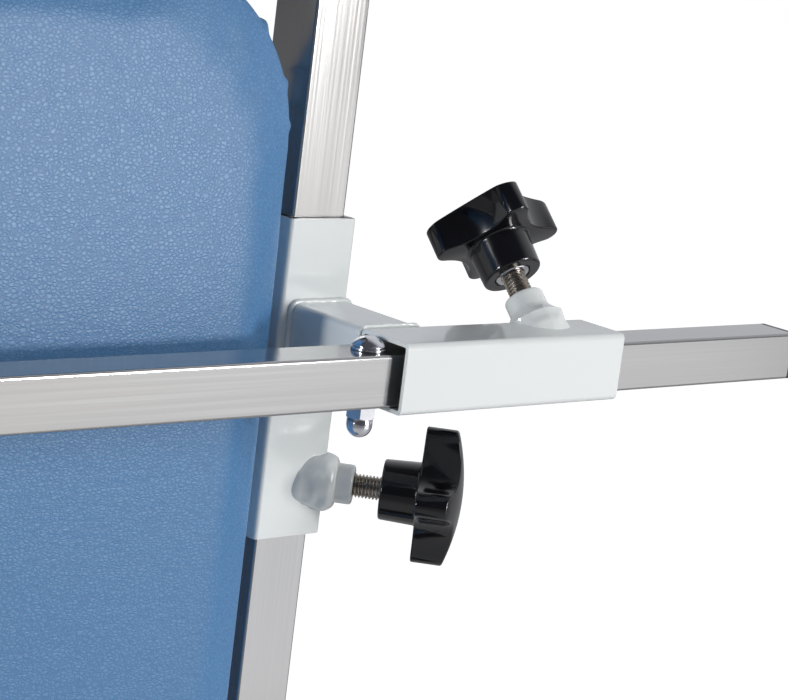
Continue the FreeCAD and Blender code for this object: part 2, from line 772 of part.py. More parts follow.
def make_crank():
    spindle_start = pivot_y + snout_end - spindle_inside
    nut_start = crank_y + crank_arm_thickness
    spindle = rod(spindle_radius, Vector(worm_x, spindle_start, worm_z), Vector(worm_x, nut_start, worm_z))
    nut = along_y(hexagon(crank_nut_flats, crank_nut_height), worm_x, nut_start, worm_z)
    collar = rod(pinion_collar_radius, Vector(worm_x, crank_y - crank_arm_thickness, worm_z),
                 Vector(worm_x, crank_y, worm_z))
    save("crank_spindle", spindle.fuse([nut, collar]).removeSplitter())

    # The arm hangs down: two round ends joined by straight tangent sides
    lean = (crank_hub_radius - crank_end_radius) / crank_reach
    spread = sqrt(1 - lean * lean)
    end_z = worm_z - crank_reach
    web = Part.makePolygon([
        Vector(worm_x - crank_hub_radius * spread, crank_y, worm_z - crank_hub_radius * lean),
        Vector(worm_x + crank_hub_radius * spread, crank_y, worm_z - crank_hub_radius * lean),
        Vector(worm_x + crank_end_radius * spread, crank_y, end_z - crank_end_radius * lean),
        Vector(worm_x - crank_end_radius * spread, crank_y, end_z - crank_end_radius * lean),
        Vector(worm_x - crank_hub_radius * spread, crank_y, worm_z - crank_hub_radius * lean),
    ])
    arm = Part.Face(web).extrude(Vector(0, crank_arm_thickness, 0))
    hub = rod(crank_hub_radius, Vector(worm_x, crank_y, worm_z), Vector(worm_x, nut_start, worm_z))
    end = rod(crank_end_radius, Vector(worm_x, crank_y, end_z), Vector(worm_x, nut_start, end_z))
    pin_end = nut_start + seat_gap + grip_length + seat_gap
    pin = rod(grip_pin_radius, Vector(worm_x, nut_start, end_z), Vector(worm_x, pin_end, end_z))
    head = rod(grip_pin_head_radius, Vector(worm_x, pin_end, end_z),
               Vector(worm_x, pin_end + grip_pin_head_height, end_z))
    arm = arm.fuse([hub, end, pin, head]).removeSplitter()
    arm = arm.cut(rod(spindle_radius + running_gap, Vector(worm_x, crank_y - overrun, worm_z),
                      Vector(worm_x, nut_start + overrun, worm_z)))
    save("crank_arm", arm)

    bore = grip_pin_radius + running_gap
    grip = turned(
        (bore, 0), (grip_waist_radius, 0),
        ((grip_radius, grip_length / 2), (grip_waist_radius, grip_length - grip_end_round)),
        ((grip_waist_radius - grip_end_round * (1 - cos(pi / 4)), grip_length - grip_end_round * (1 - sin(pi / 4))),
         (grip_waist_radius - grip_end_round / 2, grip_length)),
        (bore, grip_length))
    save("crank_grip", along_y(grip, worm_x, nut_start + seat_gap, end_z))


# Table top: rails, frame, board and pad
def make_rails():
    length = rail_top - rail_bottom - 2 * rail_cap_thickness
    rail = tube(rail_side, rail_side, rail_wall, rail_corner, length)
    right = moved(rail, rail_x, rail_y, rail_bottom + rail_cap_thickness)
    save("side_rail_right", right)
    save("side_rail_left", mirrored(right))

    inside = rail_side - 2 * rail_wall - 2 * seat_gap
    plate = prism(rail_side, rail_side, rail_corner, rail_cap_thickness)
    plug = prism(inside, inside, rail_corner, plug_depth)
    top = moved(plate, rail_x, rail_y, rail_top - rail_cap_thickness).fuse(
        moved(plug, rail_x, rail_y, rail_top - rail_cap_thickness - plug_depth))
    bottom = moved(plate, rail_x, rail_y, rail_bottom).fuse(
        moved(plug, rail_x, rail_y, rail_bottom + rail_cap_thickness))
    save("rail_end_caps", both(top.removeSplitter()), both(bottom.removeSplitter()))

    span = 2 * rail_x - rail_side
    end_tube = tube(rail_side, rail_side, rail_wall, rail_corner, span)
    heights = (rail_bottom + end_tube_inset, rail_top - end_tube_inset)
    save("rail_end_tubes", *(along_x(end_tube, -span / 2, rail_y, z) for z in heights))

    rail_back = rail_y + rail_side / 2
    ties = []
    for z in (heights[0], middle_tie_height, heights[1]):
        low = z - tie_width / 2
        high = z + tie_width / 2
        bar = block(frame_half, rail_x + rail_side / 2, board_back, board_back + tie_thickness, low, high)
        spacer = block(rail_x - rail_side / 2, rail_x + rail_side / 2, rail_back, board_back, low, high)
        ties.extend(both(bar.fuse(spacer).removeSplitter()))
    save("rail_ties", ties)


def make_pad_frame():
    side_x = frame_half - frame_width / 2
    side = tube(frame_width, frame_depth, frame_wall, frame_corner, frame_top - frame_bottom)
    pieces = both(moved(side, side_x, frame_y, frame_bottom))
    span = 2 * (frame_half - frame_width)
    cross = tube(frame_depth, frame_width, frame_wall, frame_corner, span)
    lowest = frame_bottom + frame_width / 2
    highest = frame_top - frame_width / 2
    upper = lowest + frame_upper_cross_share * (highest - lowest)
    for z in (lowest, pivot_height, upper, highest):
        pieces.append(along_x(cross, -span / 2, frame_y, z))
    save("pad_frame", pieces)

    width = pad_width - 2 * board_inset
    length = pad_length - 2 * board_end_inset
    middle_z = pad_foot_height + pad_length / 2
    board = prism(length, width, board_corner, board_thickness)
    save("pad_board", along_y(board, 0, board_front, middle_z))


def crown_radius():
    return (pad_width * pad_width / 4 + pad_crown * pad_crown) / (2 * pad_crown)


def make_pad():
    """Upholstered cushion: crowned front, rounded front edge, sides drawn in towards the board."""
    middle_z = pad_foot_height + pad_length / 2
    back = pad_thickness - seat_gap
    straight = prism(pad_length, pad_width, pad_corner, back - pad_draw_height)
    straight = along_y(straight, 0, pad_front, middle_z)
    wide = along_y(Part.Face(rounded_outline(pad_length, pad_width, pad_corner)),
                   0, pad_front + back - pad_draw_height, middle_z)
    narrow = along_y(Part.Face(rounded_outline(
        pad_length - 2 * pad_draw_in, pad_width - 2 * pad_draw_in, pad_corner - pad_draw_in)),
        0, pad_front + back, middle_z)
    drawn_in = Part.makeLoft([wide.Wires[0], narrow.Wires[0]], True, True)
    cushion = straight.fuse(drawn_in)
    radius = crown_radius()
    crown = Part.makeCylinder(radius, pad_length + 2 * overrun,
                              Vector(0, pad_front + radius, pad_foot_height - overrun))
    cushion = cushion.common(crown)
    limit = pad_front + pad_crown + overrun
    front_edges = [edge for edge in cushion.Edges if all(v.Point.y < limit for v in edge.Vertexes)]
    cushion = cushion.makeFillet(pad_edge_round, front_edges)
    save("pad", cushion)


def strap_line(offset):
    """Half of the strap's path in plan, from the board's back to the middle of the pad, pushed out by an offset."""
    side = pad_width / 2
    radius = crown_radius()
    corner_x = side - pad_edge_round
    corner_setback = radius - sqrt((radius - pad_edge_round) ** 2 - corner_x ** 2)
    lean = atan2(corner_x, radius - corner_setback)
    bend = (pi / 2 + lean) / 2
    reach = pad_edge_round + offset
    board_side = side - pad_draw_in + strap_slack
    back = pad_thickness + board_thickness
    points = {
        "tail": (side - board_inset - strap_tail, back + offset - seat_gap),
        "turn": (board_side + offset - seat_gap, back + offset - seat_gap),
        "side": (side + offset, pad_thickness - pad_draw_height),
        "corner": (side + offset, corner_setback),
        "bend": (corner_x + reach * sin(bend), corner_setback - reach * cos(bend)),
        "crown": (corner_x + reach * sin(lean), corner_setback - reach * cos(lean)),
        "middle": (0, -offset),
    }
    return {name: Vector(x, pad_front + setback, 0) for name, (x, setback) in points.items()}


def make_strap(node, height):
    inner = strap_line(seat_gap)
    outer = strap_line(seat_gap + strap_thickness)

    def flipped(point):
        return Vector(-point.x, point.y, point.z)

    edges = []
    for line in (inner, outer):
        for turn in (lambda p: p, flipped):
            for start, end in (("tail", "turn"), ("turn", "side"), ("side", "corner")):
                edges.append(Part.makeLine(turn(line[start]), turn(line[end])))
            edges.append(Part.Arc(turn(line["corner"]), turn(line["bend"]), turn(line["crown"])).toShape())
        edges.append(Part.Arc(line["crown"], line["middle"], flipped(line["crown"])).toShape())
    for turn in (lambda p: p, flipped):
        edges.append(Part.makeLine(turn(inner["tail"]), turn(outer["tail"])))
    outline = Part.Wire(Part.__sortEdges__(edges))
    strap = Part.Face(outline).extrude(Vector(0, 0, strap_width))
    save(node, moved(strap, 0, 0, height - strap_width / 2))


def make_buckles():
    """Side-release buckle: a waisted body with a slot for the webbing at each end."""
    body = prism(buckle_height, buckle_length, buckle_round, buckle_thickness)
    slot = prism(buckle_height - 2 * buckle_slot_edge, buckle_slot, buckle_slot / 3, buckle_thickness + 2 * overrun)
    slot_reach = buckle_length / 2 - buckle_slot_edge - buckle_slot / 2
    for side in (-1, 1):
        body = body.cut(moved(slot, 0, side * slot_reach, -overrun))
        waist = prism(2 * buckle_waist, buckle_waist_length, buckle_waist / 2, buckle_thickness + 2 * overrun)
        body = body.cut(moved(waist, side * buckle_height / 2, 0, -overrun))
    front = pad_front - 2 * seat_gap - strap_thickness - buckle_thickness
    save("strap_buckles", *(along_y(body, 0, front, z) for z in (chest_strap_height, knee_strap_height)))


def make_trunnions():
    start = frame_half
    outer = upright_outside + bush_flange_thickness
    shaft = rod(trunnion_radius, Vector(start, pivot_y, pivot_height),
                Vector(outer + trunnion_spare + pointer_thickness, pivot_y, pivot_height))
    boss = rod(trunnion_boss_radius, Vector(start, pivot_y, pivot_height),
               Vector(start + trunnion_boss_length, pivot_y, pivot_height))
    washer = rod(trunnion_washer_radius, Vector(outer + seat_gap, pivot_y, pivot_height),
                 Vector(outer + seat_gap + trunnion_washer_thickness, pivot_y, pivot_height))
    right = shaft.fuse([boss, washer]).removeSplitter()
    spacer = rod(trunnion_boss_radius, Vector(-start - trunnion_boss_length, pivot_y, pivot_height),
                 Vector(-upright_inside + bush_flange_thickness + seat_gap, pivot_y, pivot_height))
    left = mirrored(shaft.fuse(boss)).fuse(spacer).removeSplitter()
    save("trunnions", right, left)


def make_angle_scale():
    """Quarter plate from straight back to straight down, clear of the pad at any tilt."""
    face = -upright_outside - scale_thickness
    arc = ring(scale_outer_radius, scale_inner_radius, scale_thickness)
    arc = along_x(arc, face, pivot_y, pivot_height)
    quarter = block(face - overrun, face + scale_thickness + overrun, pivot_y - scale_spoke_width / 2,
                    pivot_y + scale_outer_radius, pivot_height - scale_outer_radius,
                    pivot_height + scale_spoke_width / 2)
    arc = arc.common(quarter)
    hub = along_x(Part.makeCylinder(upright_depth / 2, scale_thickness), face, pivot_y, pivot_height)
    spokes = [
        block(face, face + scale_thickness, pivot_y, pivot_y + scale_inner_radius + overrun,
              pivot_height - scale_spoke_width / 2, pivot_height + scale_spoke_width / 2),
        block(face, face + scale_thickness, pivot_y - scale_spoke_width, pivot_y + scale_spoke_width,
              pivot_height - scale_tab_length, pivot_height),
    ]
    plate = arc.fuse([hub] + spokes).removeSplitter()
    plate = plate.cut(along_x(Part.makeCylinder(bush_flange_radius + seat_gap, 2 * overrun + scale_thickness),
                              face - overrun, pivot_y, pivot_height))
    for drop in (upright_depth / 2 + 2 * scale_screw_radius, scale_tab_length - 2 * scale_screw_radius):
        start = Vector(face, pivot_y, pivot_height - drop)
        plate = plate.fuse(rod(scale_screw_radius, start, start - Vector(scale_screw_height, 0, 0)))
    save("angle_scale", plate.removeSplitter())


def make_angle_pointer():
    scale_x = -upright_outside - bush_flange_thickness - scale_thickness
    pointer_x = scale_x - pointer_gap - pointer_thickness
    hub = Part.makeCylinder(pointer_hub_radius, pointer_thickness, Vector(pointer_x, pivot_y, pivot_height), X_AXIS)
    arrow = Part.makePolygon([
        Vector(pointer_x, pivot_y, pivot_height - pointer_hub_radius / 2),
        Vector(pointer_x, pivot_y, pivot_height + pointer_hub_radius / 2),
        Vector(pointer_x, pivot_y + pointer_reach, pivot_height + pointer_tip_width / 2),
        Vector(pointer_x, pivot_y + pointer_reach, pivot_height - pointer_tip_width / 2),
        Vector(pointer_x, pivot_y, pivot_height - pointer_hub_radius / 2),
    ])
    pointer = hub.fuse(Part.Face(arrow).extrude(Vector(pointer_thickness, 0, 0))).removeSplitter()
    pointer = pointer.cut(rod(trunnion_radius + running_gap, Vector(pointer_x - overrun, pivot_y, pivot_height),
                              Vector(pointer_x + pointer_thickness + overrun, pivot_y, pivot_height)))
    save("angle_pointer", pointer)


# Clamp screws: a knob on a stud, through a boss welded on a sleeve's corner
def knob_solid():
    """Four-lobed knob along +Z, with the hub's face at zero and a blind hole for the stud."""
    lobe_place = knob_radius - knob_lobe_radius
    step = 2 * pi / knob_lobes
    gap = sqrt(lobe_place ** 2 + knob_scallop_place ** 2
               - 2 * lobe_place * knob_scallop_place * cos(step / 2))
    scallop_radius = gap - knob_lobe_radius

    def at(radius, angle):
        return Vector(radius * cos(angle), radius * sin(angle), 0)

    def touch(lobe_angle, scallop_angle):
        lobe_centre = at(lobe_place, lobe_angle)
        return lobe_centre + (at(knob_scallop_place, scallop_angle) - lobe_centre) * (knob_lobe_radius / gap)

    edges = []
    for k in range(knob_lobes):
        lobe = k * step
        before = touch(lobe, lobe - step / 2)
        after = touch(lobe, lobe + step / 2)
        following = touch(lobe + step, lobe + step / 2)
        waist = at(knob_scallop_place - scallop_radius, lobe + step / 2)
        edges.append(Part.Arc(before, at(knob_radius, lobe), after).toShape())
        edges.append(Part.Arc(after, waist, following).toShape())
    head_start = knob_height - knob_head_height
    head = Part.Face(Part.Wire(edges)).extrude(Vector(0, 0, knob_head_height))
    rim = knob_head_height - knob_dome - knob_rim_round
    bow_share = sin(pi / 4)
    dome = turned(
        (0, 0), (knob_radius - knob_rim_round, 0),
        ((knob_radius - knob_rim_round * (1 - bow_share), knob_rim_round * (1 - bow_share)),
         (knob_radius, knob_rim_round)),
        (knob_radius, rim),
        ((knob_radius - knob_rim_round * (1 - bow_share), rim + knob_rim_round * bow_share),
         (knob_radius - knob_rim_round, rim + knob_rim_round)),
        domed(knob_radius - knob_rim_round, rim + knob_rim_round, knob_dome))
    head = moved(head.common(dome), 0, 0, head_start)
    hub = turned(
        (0, 0), (knob_hub_radius - stud_chamfer, 0), (knob_hub_radius, stud_chamfer),
        (knob_hub_root_radius, head_start + overrun), (0, head_start + overrun))
    knob = hub.fuse(head).removeSplitter()
    return knob.cut(Part.makeCylinder(stud_radius + running_gap, stud_in_knob + seat_gap))


def stud_solid(length):
    tip = stud_radius - stud_chamfer
    return turned((0, 0), (tip, 0), (stud_radius, stud_chamfer), (stud_radius, length), (0, length))


def boss_solid(corner_reach):
    """Boss along +Z from a tube's centre line, with the swelling of its weld round its foot."""
    top = corner_reach + boss_height
    weld_top = corner_reach + boss_weld_height
    middle = (boss_radius + (boss_weld_radius - boss_radius) * (1 - sin(pi / 4)),
              weld_top - (boss_weld_height * cos(pi / 4)))
    return turned((0, 0), (boss_weld_radius, 0), (boss_weld_radius, corner_reach - boss_weld_height),
                  (boss_weld_radius, corner_reach),
                  (middle, (boss_radius, weld_top)),
                  (boss_radius, top), (0, top))


def screw(origin, direction, corner_reach, tip_reach, show, turn):
    """Boss, bore, stud and knob on one axis from a tube's centre line. The knob is turned by an angle."""
    hub_face = corner_reach + boss_height + show
    knob = knob_solid()
    knob.rotate(Vector(0, 0, 0), Z_AXIS, turn)
    stud = stud_solid(hub_face + stud_in_knob - tip_reach)
    return {
        "boss": pointing(boss_solid(corner_reach), origin, direction),
        "bore": pointing(Part.makeCylinder(stud_radius + thread_gap, corner_reach + boss_height + overrun),
                         origin, direction),
        "stud": pointing(stud, origin + direction * tip_reach, direction),
        "knob": pointed(knob, origin + direction * hub_face, direction),
    }


def corner_reach(side, corner):
    """Distance from a square tube's centre line to the outside of its rounded corner."""
    return side / sqrt(2) - corner * (sqrt(2) - 1)


def rail_screw(z):
    direction = Vector(1, -1, 0).normalize()
    tip = corner_reach(rail_side, rail_corner) + seat_gap
    return screw(Vector(rail_x, rail_y, z), direction, corner_reach(rail_sleeve_side, rail_sleeve_corner),
                 tip, rail_stud_show, rail_knob_turn)


def bar_screw():
    direction = Vector(0, 1, 1).normalize()
    origin = Vector(bar_sleeve_end + bar_screw_place, bar_sleeve_y, clamp_height)
    to_bar = Vector(origin.x, bar_y, bar_z) - origin
    tip = to_bar.dot(direction) + corner_reach(bar_side, bar_corner) + seat_gap
    return screw(origin, direction, corner_reach(bar_sleeve_side, bar_sleeve_corner), tip, bar_stud_show,
                 bar_knob_turn)


def bored(tube_solid, screw_pieces):
    return tube_solid.cut(screw_pieces["bore"])


def seated_boss(screw_pieces, outside):
    return screw_pieces["boss"].cut(outside).cut(screw_pieces["bore"])


def trimmed_boss(screw_pieces, outside, origin, direction):
    """Keeps only the part of a boss beyond the tube's corner."""
    boss = seated_boss(screw_pieces, outside)
    solids = sorted(boss.Solids, key=lambda s: (s.CenterOfMass - origin).dot(direction))
    return solids[-1]


def make_clamps():
    on_rail = rail_screw(clamp_height - rail_screw_drop)
    on_bar = bar_screw()
    length = rail_sleeve_above + rail_sleeve_below
    bottom = clamp_height - rail_sleeve_below
    rail_sleeve = moved(tube(rail_sleeve_side, rail_sleeve_side, rail_sleeve_wall, rail_sleeve_corner, length),
                        rail_x, rail_y, bottom)
    rail_outside = moved(prism(rail_sleeve_side, rail_sleeve_side, rail_sleeve_corner, length),
                         rail_x, rail_y, bottom)
    bar_sleeve = along_x(tube(bar_sleeve_side, bar_sleeve_side, bar_sleeve_wall, bar_sleeve_corner,
                              bar_sleeve_length), bar_sleeve_end, bar_sleeve_y, clamp_height)
    bar_outside = along_x(prism(bar_sleeve_side, bar_sleeve_side, bar_sleeve_corner, bar_sleeve_length),
                          bar_sleeve_end, bar_sleeve_y, clamp_height)
    arm = along_y(tube(arm_height, arm_width, arm_wall, arm_corner, arm_length),
                  bar_sleeve_end + arm_width / 2, bar_sleeve_y + bar_sleeve_side / 2, clamp_height)
    rail_origin = Vector(rail_x, rail_y, clamp_height)
    bar_origin = Vector(bar_sleeve_end, bar_sleeve_y, clamp_height)
    bosses = [
        trimmed_boss(on_rail, rail_outside, rail_origin, Vector(1, -1, 0)),
        trimmed_boss(on_bar, bar_outside, bar_origin, Vector(0, 1, 1)),
    ]
    right_pieces = {
        "rail_sleeve": [bored(rail_sleeve, on_rail)],
        "bar_sleeve": [bored(bar_sleeve, on_bar)],
        "sleeve_arm": [arm],
        "clamp_bosses": bosses,
        "rail_stud": [on_rail["stud"]],
        "rail_knob": [on_rail["knob"]],
        "bar_stud": [on_bar["stud"]],
        "bar_knob": [on_bar["knob"]],
    }
    for name, solids in right_pieces.items():
        save(name + "_right", solids)
        save(name + "_left", [mirrored(solid) for solid in solids])


# Crossbar with its stop bolt
def make_crossbar():
    length = 2 * (rail_x + bar_overhang - bar_cap_thickness)
    bar = along_x(tube(bar_side, bar_side, bar_wall, bar_corner, length), -length / 2, bar_y, bar_z)
    bolt_x = bar_sleeve_end - stop_bolt_place
    top = bar_z + bar_side / 2
    bottom = bar_z - bar_side / 2
    bar = bar.cut(rod(stop_bolt_radius + running_gap, Vector(bolt_x, bar_y, bottom - overrun),
                      Vector(bolt_x, bar_y, top + overrun)))
    save("crossbar", bar)

    inside = bar_side - 2 * bar_wall - 2 * seat_gap
    plate = prism(bar_side, bar_side, bar_corner, bar_cap_thickness)
    plug = prism(inside, inside, bar_corner, plug_depth)
    cap = along_x(plate, length / 2, bar_y, bar_z).fuse(along_x(plug, length / 2 - plug_depth, bar_y, bar_z))
    save("crossbar_end_caps", both(cap.removeSplitter()))

    washer = ring(stop_washer_radius, stop_bolt_radius + running_gap, stop_washer_thickness)
    save("stop_washer", moved(washer, bolt_x, bar_y, top))

    rim = stop_head_height / 5
    head = turned((0, 0), (stop_head_radius, 0), (stop_head_radius, rim),
                  domed(stop_head_radius, rim, stop_head_height - rim))
    shank_length = bar_side + stop_washer_thickness + stop_nut_hex_height
    shank = Part.makeCylinder(stop_bolt_radius, shank_length, Vector(0, 0, -shank_length))
    bolt = head.fuse(shank).removeSplitter()
    save("stop_bolt", moved(bolt, bolt_x, bar_y, top + stop_washer_thickness))

    dome_start = stop_nut_height - stop_nut_dome_radius
    dome = turned((0, 0), (stop_nut_dome_radius, 0), (stop_nut_dome_radius, dome_start),
                  domed(stop_nut_dome_radius, dome_start, stop_nut_dome_radius))
    nut = hexagon(stop_nut_flats, stop_nut_hex_height).fuse(dome).removeSplitter()
    nut = nut.cut(Part.makeCylinder(stop_bolt_radius + running_gap, stop_nut_hex_height + seat_gap))
    save("stop_nut", pointing(nut, Vector(bolt_x, bar_y, bottom), Vector(0, 0, -1)))


# Footboard carriage
def make_footboard():
    pieces = rail_screw(foot_sleeve_bottom + foot_sleeve_length - foot_screw_inset)
    sleeve = moved(tube(rail_sleeve_side, rail_sleeve_side, rail_sleeve_wall, rail_sleeve_corner,
                        foot_sleeve_length), rail_x, rail_y, foot_sleeve_bottom)
    outside = moved(prism(rail_sleeve_side, rail_sleeve_side, rail_sleeve_corner, foot_sleeve_length),
                    rail_x, rail_y, foot_sleeve_bottom)
    boss = trimmed_boss(pieces, outside, Vector(rail_x, rail_y, foot_sleeve_bottom), Vector(1, -1, 0))
    sleeve = bored(sleeve, pieces).fuse(boss).removeSplitter()
    tube_z = foot_height - footboard_thickness - foot_tube / 2
    sleeve_front = rail_y - rail_sleeve_side / 2
    arm_start = footboard_front + foot_cross_inset
    arm = along_y(tube(foot_tube, foot_tube, foot_tube_wall, foot_tube_corner, sleeve_front - arm_start),
                  rail_x, arm_start, tube_z)
    span = 2 * rail_x - foot_tube
    cross = tube(foot_tube, foot_tube, foot_tube_wall, foot_tube_corner, span)
    crosses = [along_x(cross, -span / 2, y, tube_z) for y in (
        arm_start + foot_tube / 2, footboard_back - foot_cross_inset - foot_tube / 2)]
    save("footboard_frame", both(sleeve), both(arm), crosses)

    middle_y = (footboard_front + footboard_back) / 2
    board = moved(prism(footboard_width, footboard_depth, footboard_corner, footboard_thickness),
                  0, middle_y, foot_height - footboard_thickness)
    rims = [edge for edge in board.Edges
            if abs(edge.BoundBox.ZLength) < seat_gap and edge.BoundBox.ZMax > foot_height - seat_gap]
    save("footboard", board.makeFillet(footboard_edge_round, rims))

    mat_width = footboard_width - 2 * foot_mat_inset
    mat_depth = footboard_depth - 2 * foot_mat_inset
    mat = moved(prism(mat_width, mat_depth, footboard_corner - foot_mat_inset, foot_mat_thickness),
                0, middle_y, foot_height)
    rib_length = mat_width - 2 * (footboard_corner - foot_mat_inset)
    pitch = (mat_depth - 2 * foot_mat_rib_width) / foot_mat_rib_count
    ribs = []
    for k in range(foot_mat_rib_count):
        y = middle_y - mat_depth / 2 + foot_mat_rib_width + (k + 0.5) * pitch
        ribs.append(block(-rib_length / 2, rib_length / 2, y - foot_mat_rib_width / 2, y + foot_mat_rib_width / 2,
                          foot_height + foot_mat_thickness,
                          foot_height + foot_mat_thickness + foot_mat_rib_height))
    save("foot_mat", mat.fuse(ribs).removeSplitter())

    save("foot_stud_right", pieces["stud"])
    save("foot_stud_left", mirrored(pieces["stud"]))
    save("foot_knob_right", pieces["knob"])
    save("foot_knob_left", mirrored(pieces["knob"]))


make_base()
make_feet()
make_wheels()
make_uprights()
make_sector()
make_pinion()
make_gearbox()
make_crank()
make_rails()
make_pad_frame()
make_pad()
make_strap("chest_strap", chest_strap_height)
make_strap("knee_strap", knee_strap_height)
make_buckles()
make_trunnions()
make_angle_scale()
make_angle_pointer()
make_clamps()
make_crossbar()
make_footboard()
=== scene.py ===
import bmesh
import bpy
import json
import math
from mathutils import Matrix, Vector, noise


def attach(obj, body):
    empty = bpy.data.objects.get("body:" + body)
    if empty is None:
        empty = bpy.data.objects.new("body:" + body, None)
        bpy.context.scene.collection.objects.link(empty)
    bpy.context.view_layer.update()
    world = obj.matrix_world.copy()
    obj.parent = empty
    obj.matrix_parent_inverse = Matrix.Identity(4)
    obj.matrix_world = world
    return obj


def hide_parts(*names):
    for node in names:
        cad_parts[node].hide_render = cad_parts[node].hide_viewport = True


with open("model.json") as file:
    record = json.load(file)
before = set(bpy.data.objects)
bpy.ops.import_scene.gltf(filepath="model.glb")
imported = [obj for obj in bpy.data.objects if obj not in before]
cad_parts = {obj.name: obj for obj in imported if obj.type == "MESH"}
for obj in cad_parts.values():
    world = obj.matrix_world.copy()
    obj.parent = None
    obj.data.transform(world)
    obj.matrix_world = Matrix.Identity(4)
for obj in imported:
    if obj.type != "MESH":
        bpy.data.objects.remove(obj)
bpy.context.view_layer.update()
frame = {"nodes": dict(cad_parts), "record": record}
scene = bpy.context.scene
mm = 0.001
mergeReach = 0.00001  # points nearer than this are one


# Camera at the photograph's angle, fitted to the clamp and its bar
camera = {
    "place": (-0.3925, -1.1703, 1.8910),
    "right": (0.7561, -0.6430, 0.1223),
    "up": (0.0402, 0.2321, 0.9719),
    "lens": 108.48,
    "sensor": 36.0,
    "clip": (0.05, 100),
}


def placeCamera():
    data = bpy.data.cameras.new("clampCamera")
    data.lens = camera["lens"]
    data.sensor_width = camera["sensor"]
    data.clip_start, data.clip_end = camera["clip"]
    obj = bpy.data.objects.new("clampCamera", data)
    scene.collection.objects.link(obj)
    right = Vector(camera["right"]).normalized()
    up = Vector(camera["up"])
    up = (up - right * up.dot(right)).normalized()
    turn = Matrix((right, up, right.cross(up))).transposed()
    obj.matrix_world = Matrix.Translation(camera["place"]) @ turn.to_4x4()
    scene.camera = obj


placeCamera()
print("camera placed")


# Ways of working, as by hand
def pickNothing():
    bpy.ops.object.select_all(action="DESELECT")


def pickOnly(obj):
    pickNothing()
    obj.select_set(True)
    bpy.context.view_layer.objects.active = obj


def startEdit(obj):
    pickOnly(obj)
    bpy.ops.object.mode_set(mode="EDIT")
    bpy.ops.mesh.select_mode(type="VERT")
    bpy.ops.mesh.select_all(action="SELECT")


def endEdit():
    bpy.ops.object.mode_set(mode="OBJECT")


def pick(obj, kind, wanted):  # kind is VERT, EDGE or FACE
    bpy.ops.mesh.select_mode(type=kind)
    bpy.ops.mesh.select_all(action="DESELECT")
    mesh = bmesh.from_edit_mesh(obj.data)
    items = {"VERT": mesh.verts, "EDGE": mesh.edges, "FACE": mesh.faces}[kind]
    for item in items:
        if wanted(item):
            item.select_set(True)
    mesh.select_flush_mode()
    bmesh.update_edit_mesh(obj.data)


def named(name):
    obj = bpy.context.active_object
    obj.name = name
    obj.data.name = name
    return obj


def applyPlace():
    bpy.ops.object.transform_apply(location=True, rotation=True, scale=True)


def makeBlock(name, size, place=(0, 0, 0)):  # a block to shape, in mm
    pickNothing()
    bpy.ops.mesh.primitive_cube_add(size=1, location=[v * mm for v in place], scale=[v * mm for v in size])
    obj = named(name)
    applyPlace()
    return obj


def pickEdgesAlong(obj, axis, length):  # edges that run further than length along X, Y or Z
    way = "XYZ".index(axis)
    pick(obj, "EDGE", lambda e: abs((e.verts[0].co - e.verts[1].co)[way]) > length * mm)


def roundEdges(width, segments):  # of what is selected
    bpy.ops.mesh.bevel(offset=width * mm, segments=segments, affect="EDGES")


def extrude(step):
    bpy.ops.mesh.extrude_region_move(TRANSFORM_OT_translate={"value": step})


def modify(obj, kind, **settings):
    pickOnly(obj)
    modifier = obj.modifiers.new(kind.lower(), kind)
    for key, value in settings.items():
        setattr(modifier, key, value)
    bpy.ops.object.modifier_apply(modifier=modifier.name)


def softenEdges(obj, width, segments=3, angle=30):
    modify(obj, "BEVEL", width=width, segments=segments, limit_method="ANGLE",
           angle_limit=math.radians(angle), use_clamp_overlap=True)
    smooth(obj, 50)
    modify(obj, "WEIGHTED_NORMAL", keep_sharp=True)


def smooth(obj, angle=40):
    pickOnly(obj)
    bpy.ops.object.shade_smooth_by_angle(angle=math.radians(angle))


def put(obj, matrix):  # the place goes into the mesh
    obj.data.transform(matrix)
    obj.data.update()


def at(x, y, z):
    return Matrix.Translation((x * mm, y * mm, z * mm))


def pointTo(origin, direction, turn=0.0):
    swing = Vector((0, 0, 1)).rotation_difference(Vector(direction)).to_matrix().to_4x4()
    return Matrix.Translation(origin) @ swing @ Matrix.Rotation(math.radians(turn), 4, "Z")


alongX = Matrix.Rotation(math.radians(90), 4, "Y") @ Matrix.Rotation(math.radians(90), 4, "Z")
alongY = Matrix.Rotation(math.radians(-90), 4, "X")


def copyOf(obj, name):
    twin = obj.copy()
    twin.data = obj.data.copy()
    twin.name = name
    twin.data.name = name
    scene.collection.objects.link(twin)
    return twin


def mirrorX(obj, name):
    twin = copyOf(obj, name)
    twin.data.transform(Matrix.Scale(-1, 4, (1, 0, 0)))
    twin.data.flip_normals()
    return twin


def join(objs, name):
    pickNothing()
    for obj in objs:
        obj.select_set(True)
    bpy.context.view_layer.objects.active = objs[0]
    bpy.ops.object.join()
    return named(name)


def recalculate(obj):
    startEdit(obj)
    bpy.ops.mesh.remove_doubles(threshold=mergeReach)
    bpy.ops.mesh.select_all(action="SELECT")
    bpy.ops.mesh.normals_make_consistent(inside=False)
    endEdit()


def dress(obj, material, body, stands=()):
    obj.data.materials.clear()
    obj.data.materials.append(material)
    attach(obj, body)
    if stands:
        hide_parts(*stands)


def dressPair(right, material, body, node=None):  # on both sides, {} is the side in body and node
    left = mirrorX(right, right.name.replace("right", "left"))
    for piece, side in ((right, "right"), (left, "left")):
        dress(piece, material, body.format(side), [node.format(side)] if node else ())


# Materials
def addNode(tree, kind, inputs, settings):
    node = tree.nodes.new(kind)
    for key, value in settings.items():
        setattr(node, key, value)
    for key, value in (inputs or {}).items():
        if isinstance(value, bpy.types.NodeSocket):
            tree.links.new(value, node.inputs[key])
        else:
            node.inputs[key].default_value = value
    return node


